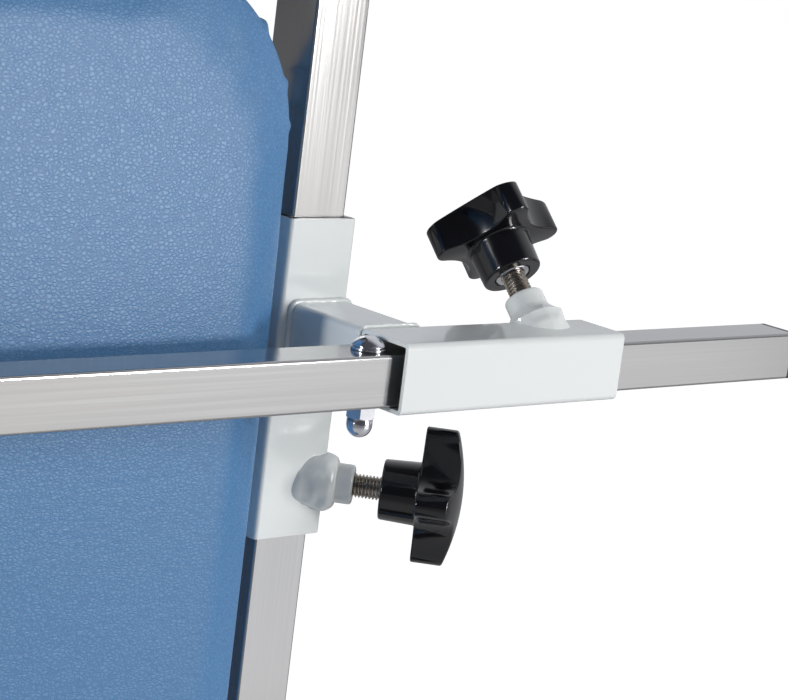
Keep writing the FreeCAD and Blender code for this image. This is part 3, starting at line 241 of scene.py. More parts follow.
class Finish:  # a material with its node tree close at hand
    def __init__(self, name):
        self.material = bpy.data.materials.new(name)
        self.material.use_nodes = True
        self.tree = self.material.node_tree
        self.shader = self.tree.nodes["Principled BSDF"]
        self.place = self.add("ShaderNodeTexCoord").outputs["Object"]

    def add(self, kind, inputs=None, **settings):
        return addNode(self.tree, kind, inputs, settings)

    def set(self, **values):
        for key, value in values.items():
            self.shader.inputs[key.replace("_", " ")].default_value = value

    def link(self, key, socket):
        self.tree.links.new(socket, self.shader.inputs[key])

    def stretched(self, scale):
        return self.add("ShaderNodeMapping", {"Vector": self.place, "Scale": scale}).outputs["Vector"]

    def noise(self, scale, detail=2.0, roughness=0.5, vector=None, distortion=0.0):
        return self.add("ShaderNodeTexNoise", {
            "Vector": vector or self.place, "Scale": scale, "Detail": detail,
            "Roughness": roughness, "Distortion": distortion,
        }).outputs["Fac"]

    def cells(self, scale, feature="F1", randomness=1.0, vector=None):
        return self.add("ShaderNodeTexVoronoi", {
            "Vector": vector or self.place, "Scale": scale, "Randomness": randomness,
        }, feature=feature).outputs["Distance"]

    def ramp(self, value, low, high, lowTo=0.0, highTo=1.0):
        return self.add("ShaderNodeMapRange", {
            "Value": value, "From Min": low, "From Max": high, "To Min": lowTo, "To Max": highTo,
        }).outputs["Result"]

    def mixColour(self, share, first, second):
        node = self.add("ShaderNodeMix", data_type="RGBA")
        node.inputs[0].default_value = 0.5
        self.tree.links.new(share, node.inputs[0])
        for place, colour in ((6, first), (7, second)):
            if isinstance(colour, bpy.types.NodeSocket):
                self.tree.links.new(colour, node.inputs[place])
            else:
                node.inputs[place].default_value = (*colour, 1)
        return node.outputs[2]

    def math(self, operation, first, second=0.5):
        return self.add("ShaderNodeMath", {0: first, 1: second}, operation=operation).outputs[0]

    def bump(self, height, distance, strength=1.0, under=None):
        inputs = {"Height": height, "Distance": distance, "Strength": strength}
        if under is not None:
            inputs["Normal"] = under
        return self.add("ShaderNodeBump", inputs).outputs["Normal"]


def makePaint():
    finish = Finish("offWhitePaint")
    drift = finish.noise(5, 2)
    finish.link("Base Color", finish.mixColour(drift, (0.77, 0.80, 0.79), (0.80, 0.83, 0.82)))
    finish.link("Roughness", finish.ramp(finish.noise(60, 3), 0.3, 0.7, 0.16, 0.24))
    finish.set(Coat_Weight=0.5, Coat_Roughness=0.06, IOR=1.5)
    peel = finish.bump(finish.noise(260, 2, 0.4), 0.00006, 0.35)
    finish.link("Normal", finish.bump(finish.noise(45, 1, 0.3), 0.0003, 0.12, peel))
    return finish.material


def makeBrushed(name, along):
    fine = [900.0, 900.0, 900.0]
    broad = [60.0, 60.0, 60.0]
    fine["XYZ".index(along)] = 5.0
    broad["XYZ".index(along)] = 0.8
    finish = Finish(name)
    lines = finish.noise(1, 2, 0.6, finish.stretched(fine))
    bands = finish.noise(1, 2, 0.5, finish.stretched(broad))
    warm = finish.ramp(finish.noise(3.0, 1), 0.35, 0.7)
    base = finish.mixColour(warm, (0.43, 0.43, 0.445), (0.455, 0.435, 0.40))
    dark = finish.mixColour(finish.ramp(bands, 0.3, 0.7), base, (0.40, 0.40, 0.405))
    finish.link("Base Color", finish.mixColour(finish.ramp(lines, 0.45, 0.9), dark, (0.47, 0.47, 0.47)))
    finish.link("Roughness", finish.ramp(lines, 0.3, 0.7, 0.13, 0.18))
    finish.set(Metallic=1.0)
    finish.link("Normal", finish.bump(lines, 0.00002, 0.2))
    return finish.material


def makeMetal(name, light, dark, low, high, scale=90):
    finish = Finish(name)
    spots = finish.noise(scale, 4, 0.6)
    finish.link("Base Color", finish.mixColour(finish.ramp(spots, 0.35, 0.7), light, dark))
    finish.link("Roughness", finish.ramp(finish.noise(scale * 3, 3), 0.3, 0.7, low, high))
    finish.set(Metallic=1.0)
    finish.link("Normal", finish.bump(finish.noise(scale * 8, 2), 0.00002, 0.3))
    return finish.material


def makeKnobPlastic():
    finish = Finish("glossBlackPlastic")
    finish.set(Base_Color=(0.0035, 0.0035, 0.0055, 1), Coat_Weight=0.25, Coat_Roughness=0.05, IOR=1.5)
    finish.link("Roughness", finish.ramp(finish.noise(120, 3), 0.3, 0.75, 0.10, 0.19))
    ripple = finish.bump(finish.noise(70, 1, 0.3), 0.0002, 0.10)
    finish.link("Normal", finish.bump(finish.noise(900, 2), 0.00001, 0.25, ripple))
    return finish.material


def makeVinyl():
    finish = Finish("blueVinyl")
    warp = finish.add("ShaderNodeTexNoise", {
        "Vector": finish.place, "Scale": 90.0, "Detail": 2.0,
    }).outputs["Color"]
    shifted = finish.add("ShaderNodeVectorMath", {0: warp, 1: (0.0035, 0.0035, 0.0035)},
                         operation="MULTIPLY").outputs[0]
    bent = finish.add("ShaderNodeVectorMath", {0: finish.place, 1: shifted}, operation="ADD").outputs[0]
    flattened = finish.add("ShaderNodeMapping", {"Vector": bent, "Scale": (0.8, 1.0, 1.15)}).outputs["Vector"]
    grooveShadeAndDepth = finish.ramp(finish.cells(520, "DISTANCE_TO_EDGE", 1.0, flattened), 0.0, 0.30)
    fine = finish.ramp(finish.cells(1000, "DISTANCE_TO_EDGE", 1.0, bent), 0.0, 0.3)
    creases = finish.noise(1, 4, 0.62, finish.stretched((110, 160, 300)), 0.8)
    drift = finish.noise(4, 3)
    tone = finish.mixColour(drift, (0.078, 0.222, 0.436), (0.090, 0.242, 0.466))
    # the darker blue in the grain's grooves is painted shade; the same grooves also set the roughness and the
    # bump
    finish.link("Base Color", finish.mixColour(grooveShadeAndDepth, (0.054, 0.175, 0.370), tone))
    finish.link("Roughness", finish.ramp(grooveShadeAndDepth, 0, 1, 0.46, 0.38))
    finish.set(IOR=1.52, Sheen_Weight=0.03, Sheen_Roughness=0.4)
    grain = finish.bump(grooveShadeAndDepth, 0.00013, 0.55)
    pebbled = finish.bump(fine, 0.00004, 0.30, grain)
    finish.link("Normal", finish.bump(finish.ramp(creases, 0.35, 0.65), 0.0003, 0.20, pebbled))
    return finish.material


def makeBoard(name, pale, deep, grain):
    finish = Finish(name)
    rings = finish.noise(1, 5, 0.65, finish.stretched((40, 40, 1.6)), 0.6)
    fine = finish.noise(1, 3, 0.6, finish.stretched((500, 500, 12)))
    wood = finish.mixColour(finish.ramp(rings, 0.3, 0.7), deep, pale)
    finish.link("Base Color", finish.mixColour(finish.ramp(fine, 0.55, 0.8), wood, grain))
    finish.link("Roughness", finish.ramp(rings, 0.2, 0.8, 0.38, 0.52))
    finish.set(Coat_Weight=0.25, Coat_Roughness=0.25)
    finish.link("Normal", finish.bump(fine, 0.0001, 0.4))
    return finish.material


def makeMoulded(name, colours, drift, wear, rough, grain, depth, strength):
    finish = Finish(name)
    finish.link("Base Color", finish.mixColour(finish.noise(*drift), *colours))
    finish.link("Roughness", finish.ramp(finish.noise(wear, 3), 0.3, 0.7, *rough))
    pattern = finish.noise(*grain) if len(grain) > 1 else finish.cells(*grain, "SMOOTH_F1")
    finish.link("Normal", finish.bump(pattern, depth, strength))
    return finish.material


def makeRubber(name, colour, light):
    return makeMoulded(name, (colour, light), (30, 4), 200, (0.55, 0.75), (1400, 3), 0.00008, 0.5)


def makeWebbing():
    finish = Finish("webbing")
    flat = finish.add("ShaderNodeTexCoord").outputs["UV"]
    across = finish.add("ShaderNodeTexWave", {"Vector": flat, "Scale": 170.0, "Distortion": 0.0},
                        wave_type="BANDS", bands_direction="X").outputs["Fac"]
    along = finish.add("ShaderNodeTexWave", {"Vector": flat, "Scale": 260.0, "Distortion": 0.0},
                       wave_type="BANDS", bands_direction="Y").outputs["Fac"]
    weave = finish.math("MULTIPLY", across, along)
    fuzz = finish.noise(900, 3)
    dark = finish.mixColour(finish.ramp(fuzz, 0.3, 0.7), (0.010, 0.012, 0.020), (0.020, 0.024, 0.036))
    finish.link("Base Color", finish.mixColour(weave, dark, (0.045, 0.052, 0.075)))
    finish.set(Roughness=0.78, Sheen_Weight=0.35, Sheen_Roughness=0.5)
    finish.link("Normal", finish.bump(weave, 0.0006, 0.8))
    return finish.material


paint = makePaint()
steelAlongX = makeBrushed("brushedSteelAlongX", "X")
steelAlongZ = makeBrushed("brushedSteelAlongZ", "Z")
zinc = makeMetal("brightZinc", (0.78, 0.78, 0.82), (0.62, 0.62, 0.66), 0.10, 0.20)
threadSteel = makeMetal("threadSteel", (0.62, 0.58, 0.53), (0.46, 0.42, 0.37), 0.20, 0.30, 60)
gearSteel = makeMetal("gearSteel", (0.42, 0.42, 0.43), (0.30, 0.29, 0.28), 0.26, 0.40, 60)
knobPlastic = makeKnobPlastic()
vinyl = makeVinyl()
plywood = makeBoard("plywood", (0.60, 0.43, 0.26), (0.46, 0.30, 0.16), (0.34, 0.21, 0.11))
# near-black board: partly a guessed board colour, partly painted shade, so what shows behind the pad stays
# dark
blackBoard = makeBoard("blackBoard", (0.022, 0.024, 0.030), (0.012, 0.013, 0.017), (0.006, 0.006, 0.008))
blackRubber = makeRubber("blackRubber", (0.012, 0.012, 0.012), (0.024, 0.024, 0.024))
greyRubber = makeRubber("greyRubber", (0.12, 0.12, 0.125), (0.17, 0.17, 0.175))
blackPlastic = makeMoulded("blackPlastic", ((0.012, 0.012, 0.013), (0.022, 0.022, 0.024)), (25, 3), 160,
                           (0.34, 0.46), (1300,), 0.00006, 0.5)
webbing = makeWebbing()
scalePlate = makeMoulded("scalePlate", ((0.80, 0.80, 0.78), (0.86, 0.86, 0.84)), (20, 3), 140,
                         (0.26, 0.36), (600, 2), 0.00003, 0.3)
print("materials made")


# The CAD nodes that stay get their finish and slightly broken edges
slotFinish = {
    "powder_coat": paint, "stainless": steelAlongZ, "gear_steel": gearSteel, "zinc": zinc,
    "knob_black": knobPlastic, "cover_blue": vinyl, "plywood": plywood, "black_rubber": blackRubber,
    "grey_rubber": greyRubber, "webbing": webbing, "black_plastic": blackPlastic,
    "scale_plate": scalePlate,
}
nodeFinish = {"rail_end_tubes": steelAlongX, "pad_board": blackBoard}
brokenEdges = {"width": 0.6 * mm, "segments": 2, "angle": 32.0}


def dressFrame():
    for part in frame["record"]["subparts"]:
        obj = frame["nodes"][part["node"]]
        finish = nodeFinish.get(part["node"], slotFinish[part["material_slot"]])
        obj.data.materials.clear()
        obj.data.materials.append(finish)
        weld = obj.modifiers.new("weld", "WELD")
        weld.merge_threshold = mergeReach
        bevel = obj.modifiers.new("bevel", "BEVEL")
        bevel.width = brokenEdges["width"]
        bevel.segments = brokenEdges["segments"]
        bevel.limit_method = "ANGLE"
        bevel.angle_limit = math.radians(brokenEdges["angle"])
        obj.data.polygons.foreach_set("use_smooth", [True] * len(obj.data.polygons))
        obj.modifiers.new("normals", "WEIGHTED_NORMAL")


dressFrame()
print("frame dressed")


# Drawing and turning, for the small round pieces
def drawLine(name, points):  # one vertex, extruded from point to point
    pickNothing()
    bpy.ops.mesh.primitive_plane_add(size=1 * mm, location=(0, 0, 0))
    obj = named(name)
    startEdit(obj)
    bpy.ops.mesh.merge(type="CENTER")
    bpy.ops.transform.translate(value=points[0])
    for before, after in zip(points, points[1:]):
        extrude(tuple(b - a for a, b in zip(before, after)))
    endEdit()
    return obj


def turned(name, profile, steps=48):  # profile of (radius, height) in mm, turned about Z
    obj = drawLine(name, [(r * mm, 0, z * mm) for r, z in profile])
    startEdit(obj)
    bpy.ops.mesh.spin(steps=steps, angle=2 * math.pi, center=(0, 0, 0), axis=(0, 0, 1))
    endEdit()
    recalculate(obj)
    return obj


def arcPoints(centre, radius, start, end, count):  # points of (radius, height), angles in degrees
    points = []
    for k in range(count + 1):
        angle = math.radians(start + (end - start) * k / count)
        points.append((centre[0] + radius * math.cos(angle), centre[1] + radius * math.sin(angle)))
    return points


# Square tubes, with rounded corners and a wall that shows at the ends
tubeEnds = {"rim": 0.35, "sleeveRim": 0.5}


def squareTube(name, spec, length, rim=tubeEnds["rim"]):
    obj = makeBlock(name, (spec["width"], spec["height"], length), (0, 0, length / 2))
    startEdit(obj)
    pickEdgesAlong(obj, "Z", length / 2)
    roundEdges(spec["corner"], 5)
    pick(obj, "FACE", lambda f: abs(f.normal.z) > 0.9)
    bpy.ops.mesh.delete(type="FACE")
    endEdit()
    modify(obj, "SOLIDIFY", thickness=spec["wall"] * mm, offset=-1, use_even_offset=True)
    startEdit(obj)
    ends = (0, length * mm)
    pick(obj, "EDGE", lambda e: all(min(abs(v.co.z - z) for z in ends) < 1e-6 for v in e.verts)
         and abs(e.calc_face_angle(0)) > 1)
    roundEdges(rim, 2)
    endEdit()
    smooth(obj, 32)
    modify(obj, "WEIGHTED_NORMAL", keep_sharp=True)
    return obj


rails = {"width": 32, "height": 32, "wall": 1.6, "corner": 1.3, "x": 332, "y": -279, "bottom": 103,
         "top": 1947}
crossbar = {"width": 25, "height": 25, "wall": 1.5, "corner": 1.6, "half": 597, "y": -368, "z": 1658}
railSleeve = {"width": 41, "height": 41, "wall": 2.8, "corner": 2.4, "bottom": 1558, "length": 160}
barSleeve = {"width": 34, "height": 34, "wall": 2.2, "corner": 3, "x": 317.5, "y": -370, "z": 1660,
             "length": 142}
sleeveArm = {"width": 36, "height": 34, "wall": 3, "corner": 3.5, "start": -353, "length": 53.5}


def paintPair(right, node):  # the left piece is copied from the dressed right one
    dress(right, paint, "clamp", [node + "right"])
    left = mirrorX(right, right.name.replace("right", "left"))
    dress(left, paint, "clamp", [node + "left"])


def makeTubes():
    rail = squareTube("brushed_rail_right", rails, rails["top"] - rails["bottom"])
    put(rail, at(rails["x"], rails["y"], rails["bottom"]))
    dressPair(rail, steelAlongZ, "tabletop", "side_rail_{}")

    bar = squareTube("brushed_crossbar", crossbar, 2 * crossbar["half"])
    put(bar, at(-crossbar["half"], crossbar["y"], crossbar["z"]) @ alongX)
    dress(bar, steelAlongX, "crossbar", ["crossbar"])

    sleeve = squareTube("painted_rail_sleeve_right", railSleeve, railSleeve["length"], tubeEnds["sleeveRim"])
    put(sleeve, at(rails["x"], rails["y"], railSleeve["bottom"]))
    carrier = squareTube("painted_bar_sleeve_right", barSleeve, barSleeve["length"], tubeEnds["sleeveRim"])
    put(carrier, at(barSleeve["x"], barSleeve["y"], barSleeve["z"]) @ alongX)
    arm = squareTube("painted_arm_right", sleeveArm, sleeveArm["length"])
    put(arm, at(barSleeve["x"] + sleeveArm["width"] / 2, sleeveArm["start"], barSleeve["z"]) @ alongY)
    for obj, node in ((sleeve, "rail_sleeve_"), (carrier, "bar_sleeve_"), (arm, "sleeve_arm_")):
        paintPair(obj, node)


makeTubes()
print("tubes made")


# Four-lobed knob, with its metal insert, along +Z from the hub's face
knob = {
    "radius": 34.4, "lobeRadius": 6.6, "scallopPlace": 48.0, "lobes": 4, "points": 192,
    "height": 40.6, "head": 21.9, "dome": 6.2, "rimRound": 0.9, "rimSteps": 3,
    "hub": 15.2, "hubRoot": 15.9, "hubRound": 1.3, "fillet": 1.2, "insert": 8.8, "insertGap": 0.5,
    "insertDepth": 8, "proud": 0.1, "bore": 6.1, "recess": 6,
    "domeRings": (0.88, 0.86, 0.83, 0.79, 0.73, 0.62, 0.4),
}


def lobeOutline(angle):  # distance of the knob's edge from its axis
    step = 2 * math.pi / knob["lobes"]
    place = knob["radius"] - knob["lobeRadius"]
    gap = math.sqrt(place ** 2 + knob["scallopPlace"] ** 2
                    - 2 * place * knob["scallopPlace"] * math.cos(step / 2))
    scallop = gap - knob["lobeRadius"]
    turn = abs((angle + step / 2) % step - step / 2)
    touchX = place + (knob["scallopPlace"] * math.cos(step / 2) - place) * knob["lobeRadius"] / gap
    touchY = knob["scallopPlace"] * math.sin(step / 2) * knob["lobeRadius"] / gap
    if turn < math.atan2(touchY, touchX):
        side = place * math.sin(turn)
        return place * math.cos(turn) + math.sqrt(knob["lobeRadius"] ** 2 - side ** 2)
    away = step / 2 - turn
    side = knob["scallopPlace"] * math.sin(away)
    return knob["scallopPlace"] * math.cos(away) - math.sqrt(scallop ** 2 - side ** 2)


def roundOff(obj, up):  # rounds the rim of the face that looks up or down
    steps = knob["rimSteps"]
    for k in range(steps):
        before, after = (math.pi / 2 * (k + s) / steps for s in (0, 1))
        pick(obj, "FACE", lambda f: f.normal.z * up > 0.99)
        bpy.ops.mesh.inset(thickness=knob["rimRound"] * mm * (math.cos(before) - math.cos(after)),
                           depth=knob["rimRound"] * mm * (math.sin(after) - math.sin(before)))


def makeKnob():
    start = knob["height"] - knob["head"] + knob["rimRound"]
    end = knob["height"] - knob["dome"] - knob["rimRound"]
    pickNothing()
    bpy.ops.mesh.primitive_circle_add(vertices=knob["points"], radius=1, fill_type="NGON",
                                      location=(0, 0, start * mm))
    head = named("knobHead")
    applyPlace()
    for vertex in head.data.vertices:
        reach = lobeOutline(math.atan2(vertex.co.y, vertex.co.x)) * mm
        vertex.co.x *= reach
        vertex.co.y *= reach
    startEdit(head)
    extrude((0, 0, (end - start) * mm))
    bpy.ops.mesh.select_all(action="SELECT")
    bpy.ops.mesh.normals_make_consistent(inside=False)
    roundOff(head, 1)
    roundOff(head, -1)
    pick(head, "FACE", lambda f: f.normal.z > 0.99)
    for share in knob["domeRings"]:
        extrude((0, 0, 0))
        bpy.ops.transform.resize(value=(share, share, 1), center_override=(0, 0, 0))
    bpy.ops.mesh.remove_doubles(threshold=0.000001)
    endEdit()
    for vertex in head.data.vertices:
        lift = (vertex.co.z / mm - start) / (end - start)
        reach = vertex.co.xy.length / mm / knob["radius"]
        vertex.co.z += min(1, max(0, lift)) * knob["dome"] * mm * (1 - reach ** 2)

    under = knob["height"] - knob["head"]
    hubRound, fillet = knob["hubRound"], knob["fillet"]
    hole = knob["insert"] + knob["insertGap"]
    hub = turned("knobHub", [
        (hole, knob["recess"]), (hole, 0.5), (hole + 0.5, 0), (knob["hub"] - hubRound - 1, 0),
        *arcPoints((knob["hub"] - hubRound, hubRound), hubRound, -90, 0, 5),
        (knob["hubRoot"], under - fillet),
        *arcPoints((knob["hubRoot"] + fillet, under - fillet), fillet, 180, 90, 4),
        (knob["hubRoot"] + fillet, under + 1), (hole, under + 1), (hole, knob["recess"]),
    ], 72)
    whole = join([head, hub], "knobModel")
    smooth(whole, 38)

    bore, outside, deep, proud = (knob[key] for key in ("bore", "insert", "insertDepth", "proud"))
    insert = turned("knobInsert", [
        (bore, deep), (bore, 0.3), (bore + 0.4, -proud), (outside - 0.4, -proud), (outside, 0.3),
        (outside, deep), (bore, deep),
    ])
    smooth(insert, 30)
    return whole, insert


# M12 clamp screw, threaded where it shows and plain inside
clampScrew = {"radius": 6.0, "root": 4.93, "pitch": 1.75, "inKnob": 16.0, "inBoss": 6, "intoHub": 2,
              "rootFlat": 0.14, "crestFlat": (0.44, 0.63), "chamfer": 1.2, "steps": 40}


def makeStud(name, length, threadStart, threadEnd):
    pitch = clampScrew["pitch"]
    root, crest = clampScrew["root"], clampScrew["radius"]
    crestStart, crestEnd = clampScrew["crestFlat"]
    line = [(root, 0), (root, pitch * clampScrew["rootFlat"]), (crest, pitch * crestStart),
            (crest, pitch * crestEnd), (root, pitch)]
    thread = drawLine(name + "Thread", [(r * mm, 0, z * mm) for r, z in line])
    turns = math.ceil((threadEnd - threadStart) / pitch) + 1
    modify(thread, "SCREW", angle=2 * math.pi, screw_offset=pitch * mm, iterations=turns,
           steps=clampScrew["steps"], render_steps=clampScrew["steps"], axis="Z",
           use_merge_vertices=True, merge_threshold=0.000005)
    put(thread, at(0, 0, threadStart - pitch))
    recalculate(thread)
    startEdit(thread)
    for height, outer in ((threadStart, False), (threadEnd, True)):
        bpy.ops.mesh.select_all(action="SELECT")
        bpy.ops.mesh.bisect(plane_co=(0, 0, height * mm), plane_no=(0, 0, 1), use_fill=False,
                            clear_inner=not outer, clear_outer=outer)
    endEdit()
    tip = crest - clampScrew["chamfer"]
    core = turned(name + "Core", [
        (0, 0), (tip - 0.3, 0), (tip, 0.2), (root, clampScrew["chamfer"]), (root, length), (0, length),
    ], clampScrew["steps"])
    whole = join([core, thread], name)
    smooth(whole, 28)
    return whole


# Threaded bosses on the sleeves' corners, with their welds
boss = {"radius": 10.0, "weld": 14.6, "height": 15.0, "weldHeight": 6.5, "rim": 1.6, "bore": 6.35,
        "steps": 96, "flareSteps": 10, "wallSteps": 16, "swells": ((1, 1.2), (2.6, 0.15)), "swellScale": 130,
        "fit": 0.6, "cutLength": 120}


def makeBoss(name, spec, seed):
    reach, bulge = spec["reach"], spec["bulge"]
    top = reach + boss["height"]
    foot = reach - boss["weld"] - 1
    weldTop = reach + boss["weldHeight"]
    flare = []
    for k in range(boss["flareSteps"] + 1):  # the weld, bulging or hollow, from the sleeve up to the boss
        angle = math.pi / 2 * k / boss["flareSteps"]
        hollow = 1 - math.sin(angle)
        full = math.cos(angle)
        height = weldTop - boss["weldHeight"] * (bulge * hollow + (1 - bulge) * full)
        wide = (boss["weld"] - boss["radius"]) * (bulge * full + (1 - bulge) * hollow)
        flare.append((boss["radius"] + wide, height))
    wall = [(boss["weld"], foot + (reach - foot) * k / boss["wallSteps"]) for k in range(boss["wallSteps"])]
    obj = turned(name, [
        (boss["bore"], foot), *wall, *flare, (boss["radius"], top - boss["rim"] - 2),
        *arcPoints((boss["radius"] - boss["rim"], top - boss["rim"]), boss["rim"], 0, 90, 5),
        (boss["bore"] + 0.6, top), (boss["bore"], top - 0.6), (boss["bore"], foot),
    ], boss["steps"])
    for vertex in obj.data.vertices:
        height = vertex.co.z / mm
        out = vertex.co.xy.length / mm
        if height < weldTop and out > boss["bore"] + 1:
            share = min(1, (weldTop - height) / 4)
            spot = Vector((vertex.co.x, vertex.co.y, vertex.co.z * 1.2)) * boss["swellScale"]
            spot += Vector((seed, 0, 0))
            swell = sum(noise.noise(spot * scale) * size for scale, size in boss["swells"])
            vertex.co.xy = vertex.co.xy * (1 + share * swell / out)
    side = spec["side"] - boss["fit"]
    cutter = makeBlock(name + "Cutter", (side, side, boss["cutLength"]))
    startEdit(cutter)
    pickEdgesAlong(cutter, "Z", boss["cutLength"] / 2)
    roundEdges(spec["corner"], 4)
    endEdit()
    put(cutter, Matrix.Rotation(math.radians(90), 4, "X") @ Matrix.Rotation(math.radians(45), 4, "Z"))
    modify(obj, "BOOLEAN", operation="DIFFERENCE", object=cutter, solver="EXACT")
    bpy.data.objects.remove(cutter)
    smooth(obj, 40)
    return obj


# The weld round an arm's end
weldBead = {"step": 0.9, "ripple": 0.3, "radii": (0.9, 1.5)}


def makeWeldBead(name, width, height, corner, radius, seed):
    pickNothing()
    bpy.ops.mesh.primitive_plane_add(size=1, location=(0, 0, 0))
    obj = named(name)
    obj.scale = (width * mm, height * mm, 1)
    applyPlace()
    startEdit(obj)
    bpy.ops.mesh.bevel(offset=corner * mm, segments=4, affect="VERTICES")
    pick(obj, "EDGE", lambda e: e.calc_length() > 10 * mm)
    bpy.ops.mesh.subdivide(number_cuts=int((width - 2 * corner) / weldBead["step"]))
    bpy.ops.mesh.select_all(action="SELECT")
    bpy.ops.mesh.delete(type="ONLY_FACE")
    endEdit()
    bpy.ops.object.convert(target="CURVE")
    obj.data.bevel_depth = radius * mm
    obj.data.bevel_resolution = 4
    bpy.ops.object.convert(target="MESH")
    for vertex in obj.data.vertices:
        spot = vertex.co * 420 + Vector((seed, 0, 0))
        vertex.co += vertex.normal * weldBead["ripple"] * mm * noise.noise(spot)
    recalculate(obj)
    smooth(obj, 60)
    return obj


screwPlaces = {
    "rail": {"origin": (332, -279, 1585), "direction": (1, -1, 0), "reach": 28.08, "show": 14.0,
             "side": 41, "corner": 2.2, "turn": 40.0, "bulge": 1.0},
    "bar": {"origin": (428.5, -370, 1660), "direction": (0, 1, 1), "reach": 22.80, "show": 12.5,
            "side": 34, "corner": 3, "turn": -17.5, "bulge": 0.35},
    "foot": {"origin": (332, -279, 228), "direction": (1, -1, 0), "reach": 28.08, "show": 14.0, "turn": 40.0},
}


def tipOf(key, spec):  # how far the screw's tip stands from the sleeve's centre line
    origin = Vector(spec["origin"]) * mm
    direction = Vector(spec["direction"]).normalized()
    stud = frame["nodes"][key + "_stud_right"]
    return min((vertex.co - origin).dot(direction) for vertex in stud.data.vertices) / mm


def makeClampScrews():
    knobModel, insertModel = makeKnob()
    for key, spec in screwPlaces.items():
        direction = Vector(spec["direction"]).normalized()
        axis = pointTo(Vector(spec["origin"]) * mm, direction)
        hubFace = spec["reach"] + boss["height"] + spec["show"]
        tipReach = tipOf(key, spec)
        length = hubFace + clampScrew["inKnob"] - tipReach
        stud = makeStud("threaded_" + key + "_screw_right", length,
                        spec["reach"] + boss["height"] - clampScrew["inBoss"] - tipReach,
                        hubFace + clampScrew["intoHub"] - tipReach)
        put(stud, axis @ at(0, 0, tipReach))
        knobPlace = axis @ at(0, 0, hubFace) @ Matrix.Rotation(math.radians(spec["turn"]), 4, "Z")
        head = copyOf(knobModel, "lobed_" + key + "_knob_right")
        insert = copyOf(insertModel, key + "_knob_insert_right")
        put(head, knobPlace)
        put(insert, knobPlace)
        screwBody, knobBody = key + "_stud_{}", key + "_knob_{}"
        dressPair(stud, threadSteel, screwBody, screwBody)
        dressPair(head, knobPlastic, knobBody, knobBody)
        dressPair(insert, zinc, knobBody)
    bpy.data.objects.remove(knobModel)
    bpy.data.objects.remove(insertModel)


def boxTurn(spec):  # turns the cut-out about the boss's axis until it lies along the sleeve
    along = Vector((0, 0, 1)) if spec["direction"][2] == 0 else Vector((1, 0, 0))
    direction = Vector(spec["direction"]).normalized()
    swing = Vector((0, 0, 1)).rotation_difference(direction).to_matrix()
    local = swing.inverted() @ along
    return math.degrees(math.atan2(local.y, local.x)) + 90


def makeBosses():
    right = []
    for key in ("rail", "bar"):
        spec = screwPlaces[key]
        piece = makeBoss(key + "Boss", spec, 3.7 * len(right))
        put(piece, pointTo(Vector(spec["origin"]) * mm, Vector(spec["direction"]).normalized(),
                           boxTurn(spec)))
        right.append(piece)
    bosses = join(right, "painted_clamp_bosses_right")
    for k, y in enumerate((sleeveArm["start"] + 0.6, sleeveArm["start"] + sleeveArm["length"] - 0.6)):
        bead = makeWeldBead(("bar", "rail")[k] + "_arm_weld_right", sleeveArm["width"] + 1,
                            sleeveArm["height"] + 1, sleeveArm["corner"] + 0.5, weldBead["radii"][k], 5.1 * k)
        put(bead, at(barSleeve["x"] + sleeveArm["width"] / 2, y, barSleeve["z"]) @ alongY)
        dressPair(bead, paint, "clamp")
    paintPair(bosses, "clamp_bosses_")


makeClampScrews()
makeBosses()
print("clamp screws, knobs and bosses made")


# Stop bolt through the crossbar
stopBolt = {
    "x": 309.9, "y": -368, "turn": 19, "top": 1670.5, "bottom": 1645.5, "shank": 4.0, "shankLength": 30,
    "head": 8.0, "headHeight": 5.0, "washer": 8.5, "washerHeight": 1.6, "washerRound": 0.4, "hole": 4.1,
    "flats": 13.0, "hex": 7.0, "dome": 6.1, "nut": 16.5, "steps": 64,
}


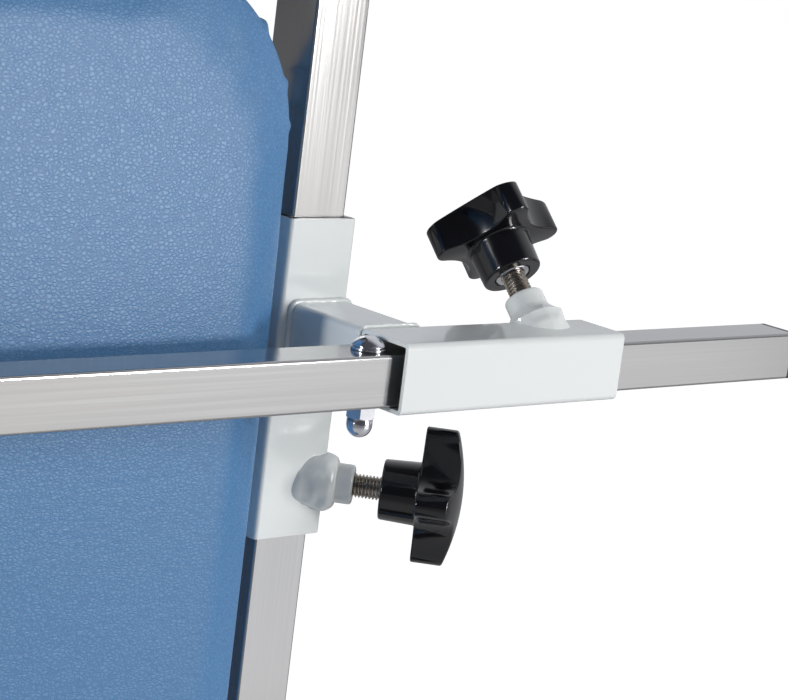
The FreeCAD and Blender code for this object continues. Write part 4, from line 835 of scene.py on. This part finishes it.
def makeStopBolt():
    place = at(stopBolt["x"], stopBolt["y"], 0)
    hole, thick, curve = stopBolt["hole"], stopBolt["washerHeight"], stopBolt["washerRound"]
    edge = stopBolt["washer"] - curve
    washer = turned("flat_washer", [
        (hole, 0.2), (hole, thick - 0.2), (hole + 0.2, thick), (edge + 0.1, thick),
        *arcPoints((edge, thick - curve), curve, 90, 0, 3), *arcPoints((edge, curve), curve, 0, -90, 3),
        (hole + 0.2, 0), (hole, 0.2),
    ], stopBolt["steps"])
    smooth(washer, 35)
    put(washer, place @ at(0, 0, stopBolt["top"]))
    dress(washer, zinc, "crossbar", ["stop_washer"])

    rise = stopBolt["headHeight"] - 1.0
    rim = [(stopBolt["head"] - 0.5, 0), *arcPoints((stopBolt["head"] - 0.6, 0.7), 0.6, -60, 60, 4)]
    sphere = (stopBolt["head"] ** 2 + rise ** 2) / (2 * rise)
    dome = arcPoints((0, stopBolt["headHeight"] - sphere), sphere, math.degrees(math.asin(
        (sphere - rise + 0.35) / sphere)), 90, 14)
    bolt = turned("round_headed_bolt", [
        (0, -stopBolt["shankLength"]), (stopBolt["shank"], -stopBolt["shankLength"]), (stopBolt["shank"], 0),
        *rim, *dome,
    ], stopBolt["steps"])
    smooth(bolt, 40)
    put(bolt, place @ at(0, 0, stopBolt["top"] + thick))
    dress(bolt, zinc, "crossbar", ["stop_bolt"])

    pickNothing()
    bpy.ops.mesh.primitive_cylinder_add(vertices=6, radius=stopBolt["flats"] / math.sqrt(3) * mm,
                                        depth=stopBolt["hex"] * mm, location=(0, 0, stopBolt["hex"] / 2 * mm))
    hexagon = named("hexPart")
    applyPlace()
    chamfer = turned("hexChamfer", [
        (0, -1), (6.4, 0), (7.7, 0.75), (7.7, 6.2), (6.4, 7), (0, 7)], stopBolt["steps"])
    modify(hexagon, "BOOLEAN", operation="INTERSECT", object=chamfer, solver="EXACT")
    bpy.data.objects.remove(chamfer)
    softenEdges(hexagon, 0.12 * mm, 2, 20)
    cap = turned("capPart", [
        (hole, 1), (hole, 6), (5.7, 6), (5.7, 7.4), (stopBolt["dome"], 7.9),
        *arcPoints((0, stopBolt["nut"] - stopBolt["dome"]), stopBolt["dome"], 0, 90, 14),
    ], stopBolt["steps"])
    nut = join([hexagon, cap], "acorn_nut")
    smooth(nut, 30)
    turn = Matrix.Rotation(math.radians(stopBolt["turn"]), 4, "Z") @ Matrix.Rotation(math.pi, 4, "X")
    put(nut, place @ at(0, 0, stopBolt["bottom"]) @ turn)
    dress(nut, zinc, "crossbar", ["stop_nut"])


makeStopBolt()
print("stop bolt made")


# The pad: padded shell, swelled by cloth under pressure, then gathered at its corners
pad = {
    "halfWidth": 300.0, "bottom": 160.0, "top": 1840.0, "front": -330.0, "back": -240.6, "boardFront": -258.0,
    "corner": 80.0, "round": 24.0, "crown": 4.0, "drawIn": 7.0, "drawHeight": 24.0,
    "endCrown": 16.0, "endReach": 200.0,
    "voxel": 6.0, "pressure": 4.0, "frames": 14, "swell": 4.0, "fill": 0.85,
    "cloth": {"quality": 4, "mass": 0.5, "tension_stiffness": 25, "compression_stiffness": 25,
              "bending_stiffness": 2, "use_pressure": True},
    "folds": ((3.6, 2.6), (18.2, 2.5), (39.6, 2.8), (58.0, 2.4), (75.0, 2.5), (89.0, 2.3)),
    "foldWidth": 2.6, "valley": 1.3, "foldSlant": 0.4,
    "foldZone": {"x": -0.02, "z": -0.03, "inner": 0.3}, "fineZone": {"x": -0.008, "z": -0.012, "inner": 0.55},
    "foldDepth": (0.06, 0.22), "foldOut": (0.62, 0.3), "crownFade": 1.6, "drawCurve": 1.5,
}


def padShell():
    width = 2 * pad["halfWidth"]
    length = pad["top"] - pad["bottom"]
    depth = pad["back"] - pad["front"]
    middle = (0, (pad["back"] + pad["front"]) / 2, (pad["top"] + pad["bottom"]) / 2)
    obj = makeBlock("vinyl_pad", (width, depth, length), middle)
    startEdit(obj)
    pickEdgesAlong(obj, "Y", depth / 2)
    roundEdges(pad["corner"], 16)
    front = min(v.co.y for v in bmesh.from_edit_mesh(obj.data).verts)
    pick(obj, "EDGE", lambda e: all(v.co.y < front + 1e-5 for v in e.verts))
    roundEdges(pad["round"], 8)
    endEdit()
    return obj


def swellPad(obj):
    modify(obj, "REMESH", mode="VOXEL", voxel_size=pad["voxel"] * mm, use_smooth_shade=True)
    rest = [vertex.co.copy() for vertex in obj.data.vertices]
    held = obj.vertex_groups.new(name="held")
    backLine = (pad["boardFront"] - 2) * mm
    held.add([v.index for v in obj.data.vertices if v.co.y > backLine], 1, "REPLACE")
    cloth = obj.modifiers.new("cloth", "CLOTH")
    for key, value in pad["cloth"].items():
        setattr(cloth.settings, key, value)
    cloth.settings.uniform_pressure_force = pad["pressure"]
    cloth.settings.vertex_group_mass = "held"
    cloth.settings.effector_weights.gravity = 0
    cloth.collision_settings.use_collision = False
    cloth.point_cache.frame_start = 1
    cloth.point_cache.frame_end = pad["frames"]
    for step in range(1, pad["frames"] + 1):
        scene.frame_set(step)
    view = bpy.context.evaluated_depsgraph_get()
    swelled = [vertex.co.copy() for vertex in obj.evaluated_get(view).data.vertices]
    obj.modifiers.remove(cloth)
    scene.frame_set(1)
    obj.vertex_groups.clear()
    middle = Vector((0, 0, (pad["top"] + pad["bottom"]) / 2 * mm))
    for vertex, start, end in zip(obj.data.vertices, rest, swelled):
        move = end - start
        for way in (0, 2):  # the foam holds the cover's edges out
            if move[way] * (start[way] - middle[way]) < 0:
                move[way] = 0
        if move.length > pad["swell"] * mm:
            move *= pad["swell"] * mm / move.length
        vertex.co = start + move


def rising(value, start, span):  # from 0 at the start to 1 a span further on
    return min(1.0, max(0.0, (value - start) / span))


def padDepth(point):  # 0 at the pad's front, 1 where it meets the board and behind
    return min(1.0, (point.y / mm - pad["front"]) / (pad["boardFront"] - pad["front"]))


def padCorner(point):  # the middle of the nearest corner's arc, and the way out from it
    side = 1 if point.x > 0 else -1
    up = 1 if point.z > (pad["top"] + pad["bottom"]) / 2 * mm else -1
    centreX = side * (pad["halfWidth"] - pad["corner"]) * mm
    centreZ = (pad["top"] if up > 0 else pad["bottom"]) * mm - up * pad["corner"] * mm
    return side, up, Vector((centreX, point.y, centreZ))


def gatherPad(obj):
    inset = pad["corner"] * mm
    zone = pad["foldZone"]
    for vertex in obj.data.vertices:
        point = vertex.co
        side, up, centre = padCorner(point)
        reachX = (point.x - centre.x) * side
        reachZ = (point.z - centre.z) * up
        depth = padDepth(point)
        out = Vector((point.x - centre.x, 0, point.z - centre.z))
        if reachX < zone["x"] or reachZ < zone["z"] or out.length < inset * zone["inner"]:
            continue
        angle = math.degrees(math.atan2(reachZ, reachX))
        along = math.radians(angle) * pad["corner"]
        rise = 0.0
        for k, (place, height) in enumerate(pad["folds"]):
            slant = (0.45 - depth) * 2.5 * (k - 2) * pad["foldSlant"]
            gap = along - math.radians(place + slant) * pad["corner"]
            rise = max(rise, height * math.exp(-(gap / pad["foldWidth"]) ** 2))
        within = rising(angle, -5, 7) * rising(-angle, -96, 6)
        fade = rising(depth, *pad["foldDepth"]) * rising(out.length / inset, *pad["foldOut"])
        move = (rise - pad["valley"]) * within * fade
        vertex.co += out.normalized() * move * mm


def refinePadCorners(obj):  # smaller faces where the folds are
    zone = pad["fineZone"]

    def inFolds(face):
        point = face.calc_center_median()
        side, up, centre = padCorner(point)
        out = Vector((point.x - centre.x, 0, point.z - centre.z))
        return ((point.x - centre.x) * side > zone["x"] and (point.z - centre.z) * up > zone["z"]
                and point.y > (pad["front"] - 2) * mm and out.length > pad["corner"] * zone["inner"] * mm)

    startEdit(obj)
    pick(obj, "FACE", inFolds)
    bpy.ops.mesh.subdivide(number_cuts=1)
    endEdit()


def crownPad(obj):  # a gentle crown over the width, and slightly drawn in towards the board
    for vertex in obj.data.vertices:
        depth = padDepth(vertex.co)
        across = abs(vertex.co.x / mm) / pad["halfWidth"]
        toEnd = min(pad["top"] - vertex.co.z / mm, vertex.co.z / mm - pad["bottom"])
        fall = pad["crown"] * min(1, across) ** 2 + pad["endCrown"] * max(0, 1 - toEnd / pad["endReach"]) ** 2
        vertex.co.y += fall * mm * max(0, 1 - depth * pad["crownFade"])
        start = 1 - pad["drawHeight"] / (pad["boardFront"] - pad["front"])
        pull = max(0, (depth - start) / (1 - start)) ** pad["drawCurve"] * pad["drawIn"] * mm
        side, up, centre = padCorner(vertex.co)
        out = Vector(((vertex.co.x - centre.x) * side, 0, (vertex.co.z - centre.z) * up))
        away = Vector((max(0, out.x) * side, 0, max(0, out.z) * up))
        if away.length > 0.05:
            vertex.co -= away.normalized() * pull


def makePad():
    obj = padShell()
    swellPad(obj)
    modify(obj, "SMOOTH", factor=0.5, iterations=4)
    modify(obj, "SUBSURF", levels=1, render_levels=1)
    refinePadCorners(obj)
    gatherPad(obj)
    crownPad(obj)
    smooth(obj, 180)
    dress(obj, vinyl, "tabletop", ["pad"])


makePad()
print("pad made")


# Straps round the pad
strap = {"width": 50.0, "thickness": 2.0, "gap": 0.5, "tail": 45.0, "heights": (1250.0, 590.0),
         "names": ("chest", "knee"), "backStart": 280.0, "back": -240.0, "steps": 12}


def strapPath():  # half of the path in plan, from the board's back to the middle of the pad
    gap = strap["gap"] + strap["thickness"] / 2
    radius = pad["round"] + gap
    middle = (pad["halfWidth"] - pad["round"], pad["front"] + pad["round"] + pad["crown"])
    points = [(strap["backStart"] - strap["tail"], strap["back"] + gap),
              (strap["backStart"] + 9, strap["back"] + gap),
              *arcPoints((strap["backStart"] + 10, strap["back"] - 2), 2 + gap, 90, 10, 4),
              (pad["halfWidth"] + gap, pad["boardFront"] - pad["drawHeight"])]
    points += arcPoints(middle, radius, 0, -88, strap["steps"])
    for k in range(1, strap["steps"] + 1):
        x = middle[0] * (1 - k / strap["steps"])
        points.append((x, pad["front"] - gap + pad["crown"] * (x / pad["halfWidth"]) ** 2 * 0.9))
    return points


def makeStrap(name, height, stands):
    half = strapPath()
    path = half + [(-x, y) for x, y in reversed(half[:-1])]
    obj = drawLine(name, [(x * mm, y * mm, (height - strap["width"] / 2) * mm) for x, y in path])
    startEdit(obj)
    extrude((0, 0, strap["width"] * mm))
    endEdit()
    lengths = [0.0]
    for a, b in zip(path, path[1:]):
        lengths.append(lengths[-1] + math.dist(a, b))
    layer = obj.data.uv_layers.new(name="strapFlat")
    for loop in obj.data.loops:
        point = obj.data.vertices[loop.vertex_index].co
        nearest = min(range(len(path)), key=lambda k: math.dist(path[k], (point.x / mm, point.y / mm)))
        layer.data[loop.index].uv = (lengths[nearest] * mm, point.z)
    recalculate(obj)
    modify(obj, "SOLIDIFY", thickness=strap["thickness"] * mm, offset=0)
    softenEdges(obj, 0.5 * mm, 2, 60)
    dress(obj, webbing, "tabletop", stands)


for strapName, strapHeight in zip(strap["names"], strap["heights"]):
    makeStrap("woven_" + strapName + "_strap", strapHeight, [strapName + "_strap"])
print("straps made")


# Marks and numbers on the tilt scale, from upright to flat
scaleMarks = {
    "x": -282.0, "y": -200.0, "z": 700.0, "outer": 98.0, "height": 0.35, "width": 0.9, "end": 0.3,
    "minor": 5, "major": 15, "minorLength": 5.0, "majorLength": 10.0, "text": 8.0, "textPlace": 79.0,
}


def onScale(angle):  # flat on the plate's outer face, 0 towards the back and 90 straight down
    turn = math.radians(angle)
    along = Vector((0, math.cos(turn), -math.sin(turn)))
    face = Vector((-1, 0, 0))
    across = face.cross(along)
    matrix = Matrix((along, across, face)).transposed().to_4x4()
    return at(scaleMarks["x"], scaleMarks["y"], scaleMarks["z"]) @ matrix


def scaleNumber(angle):
    pickNothing()
    bpy.ops.object.text_add(location=(0, 0, 0))
    obj = bpy.context.active_object
    obj.data.body = str(angle)
    obj.data.size = scaleMarks["text"] * mm
    obj.data.extrude = scaleMarks["height"] / 2 * mm
    obj.data.align_x = "CENTER"
    obj.data.align_y = "CENTER"
    bpy.ops.object.convert(target="MESH")
    turn = math.radians(angle)
    out = scaleMarks["textPlace"]
    upright = Matrix(((0, 0, -1), (-1, 0, 0), (0, 1, 0))).to_4x4()
    put(obj, at(scaleMarks["x"], scaleMarks["y"] + out * math.cos(turn),
                scaleMarks["z"] - out * math.sin(turn)) @ upright)
    return obj


def makeScaleMarks():
    marks = []
    for angle in range(0, 91, scaleMarks["minor"]):
        isMajor = angle % scaleMarks["major"] == 0
        length = scaleMarks["majorLength" if isMajor else "minorLength"]
        mark = makeBlock("mark" + str(angle), (length, scaleMarks["width"], scaleMarks["height"]),
                         (scaleMarks["outer"] - length / 2, 0, 0))
        startEdit(mark)
        pickEdgesAlong(mark, "Z", 0.1)
        roundEdges(scaleMarks["end"], 2)
        endEdit()
        put(mark, onScale(angle))
        marks.append(mark)
        if isMajor and 0 < angle < 90:
            marks.append(scaleNumber(angle))
    plate = join(marks, "scale_marks")
    dress(plate, blackPlastic, "base")


makeScaleMarks()
print("scale marks made")


# Floor, studio lights and a bright wall to the right
studio = {
    "floorSize": 60.0,
    "lights": (  # name, place, aimed at, width, height, watts
        ("boxRight", (2.20, -3.70, 3.20), (0.2, -0.33, 1.68), 1.7, 1.7, 60.0),
        ("boxLeft", (-3.0, -0.45, 2.1), (0.3, -0.35, 1.65), 0.6, 0.6, 60.0),
        ("lowPanel", (1.9, -2.75, 0.9), (0.2, -0.33, 1.4), 2.4, 1.2, 8.6),
        ("padGlow", (2.32, -3.60, 1.82), (0.13, -0.33, 1.76), 0.5, 0.5, 58.0),
    ),
    "floorColours": ((0.43, 0.43, 0.43), (0.47, 0.47, 0.47)),
    "floorGlow": (0.12, 0.90),  # to the scene, to the camera
    "brightWay": (0.90, 0.30, 0.30), "brightEdge": (0.35, 0.85),
    "bright": (0.66, 0.67, 0.70), "dim": (0.07, 0.072, 0.085), "seen": (1.0, 1.0, 1.0),
}


def makeFloor():
    pickNothing()
    bpy.ops.mesh.primitive_grid_add(x_subdivisions=12, y_subdivisions=12, size=studio["floorSize"],
                                    location=(0, 0, 0))
    obj = named("studio_floor")
    finish = Finish("paleFloor")
    finish.link("Base Color", finish.mixColour(finish.noise(0.8, 3), *studio["floorColours"]))
    seen = finish.add("ShaderNodeLightPath").outputs["Is Camera Ray"]
    finish.link("Emission Strength", finish.ramp(seen, 0.0, 1.0, *studio["floorGlow"]))
    finish.set(Roughness=0.75, Emission_Color=(1, 1, 1, 1))
    obj.data.materials.append(finish.material)


def makeLights():
    for name, place, aim, wide, high, watts in studio["lights"]:
        data = bpy.data.lights.new(name, "AREA")
        data.shape = "RECTANGLE"
        data.size, data.size_y = wide, high
        data.energy = watts
        obj = bpy.data.objects.new(name, data)
        scene.collection.objects.link(obj)
        back = (Vector(place) - Vector(aim)).to_track_quat("Z", "Y")
        obj.matrix_world = Matrix.Translation(place) @ back.to_matrix().to_4x4()


def makeSurroundings():
    world = bpy.data.worlds.new("studioWorld")
    scene.world = world
    world.use_nodes = True
    tree = world.node_tree
    tree.nodes.clear()

    def add(kind, inputs=None, **settings):
        return addNode(tree, kind, inputs, settings)

    way = add("ShaderNodeTexCoord").outputs["Generated"]
    facing = add("ShaderNodeVectorMath", {0: way, 1: Vector(studio["brightWay"]).normalized()},
                 operation="DOT_PRODUCT").outputs["Value"]
    low, high = studio["brightEdge"]
    wall = add("ShaderNodeMapRange", {"Value": facing, "From Min": low, "From Max": high},
               interpolation_type="SMOOTHSTEP").outputs["Result"]
    shade = add("ShaderNodeMix", data_type="RGBA")
    tree.links.new(wall, shade.inputs[0])
    shade.inputs[6].default_value = (*studio["dim"], 1)
    shade.inputs[7].default_value = (*studio["bright"], 1)
    lit = add("ShaderNodeBackground", {"Color": shade.outputs[2], "Strength": 1.0})
    seen = add("ShaderNodeBackground", {"Color": (*studio["seen"], 1), "Strength": 1.0})
    fromCamera = add("ShaderNodeLightPath").outputs["Is Camera Ray"]
    mixed = add("ShaderNodeMixShader", {0: fromCamera, 1: lit.outputs[0], 2: seen.outputs[0]})
    add("ShaderNodeOutputWorld", {"Surface": mixed.outputs[0]})


makeFloor()
makeLights()
makeSurroundings()
scene.view_settings.view_transform = "Standard"
scene.view_settings.look = "None"
print("studio made")
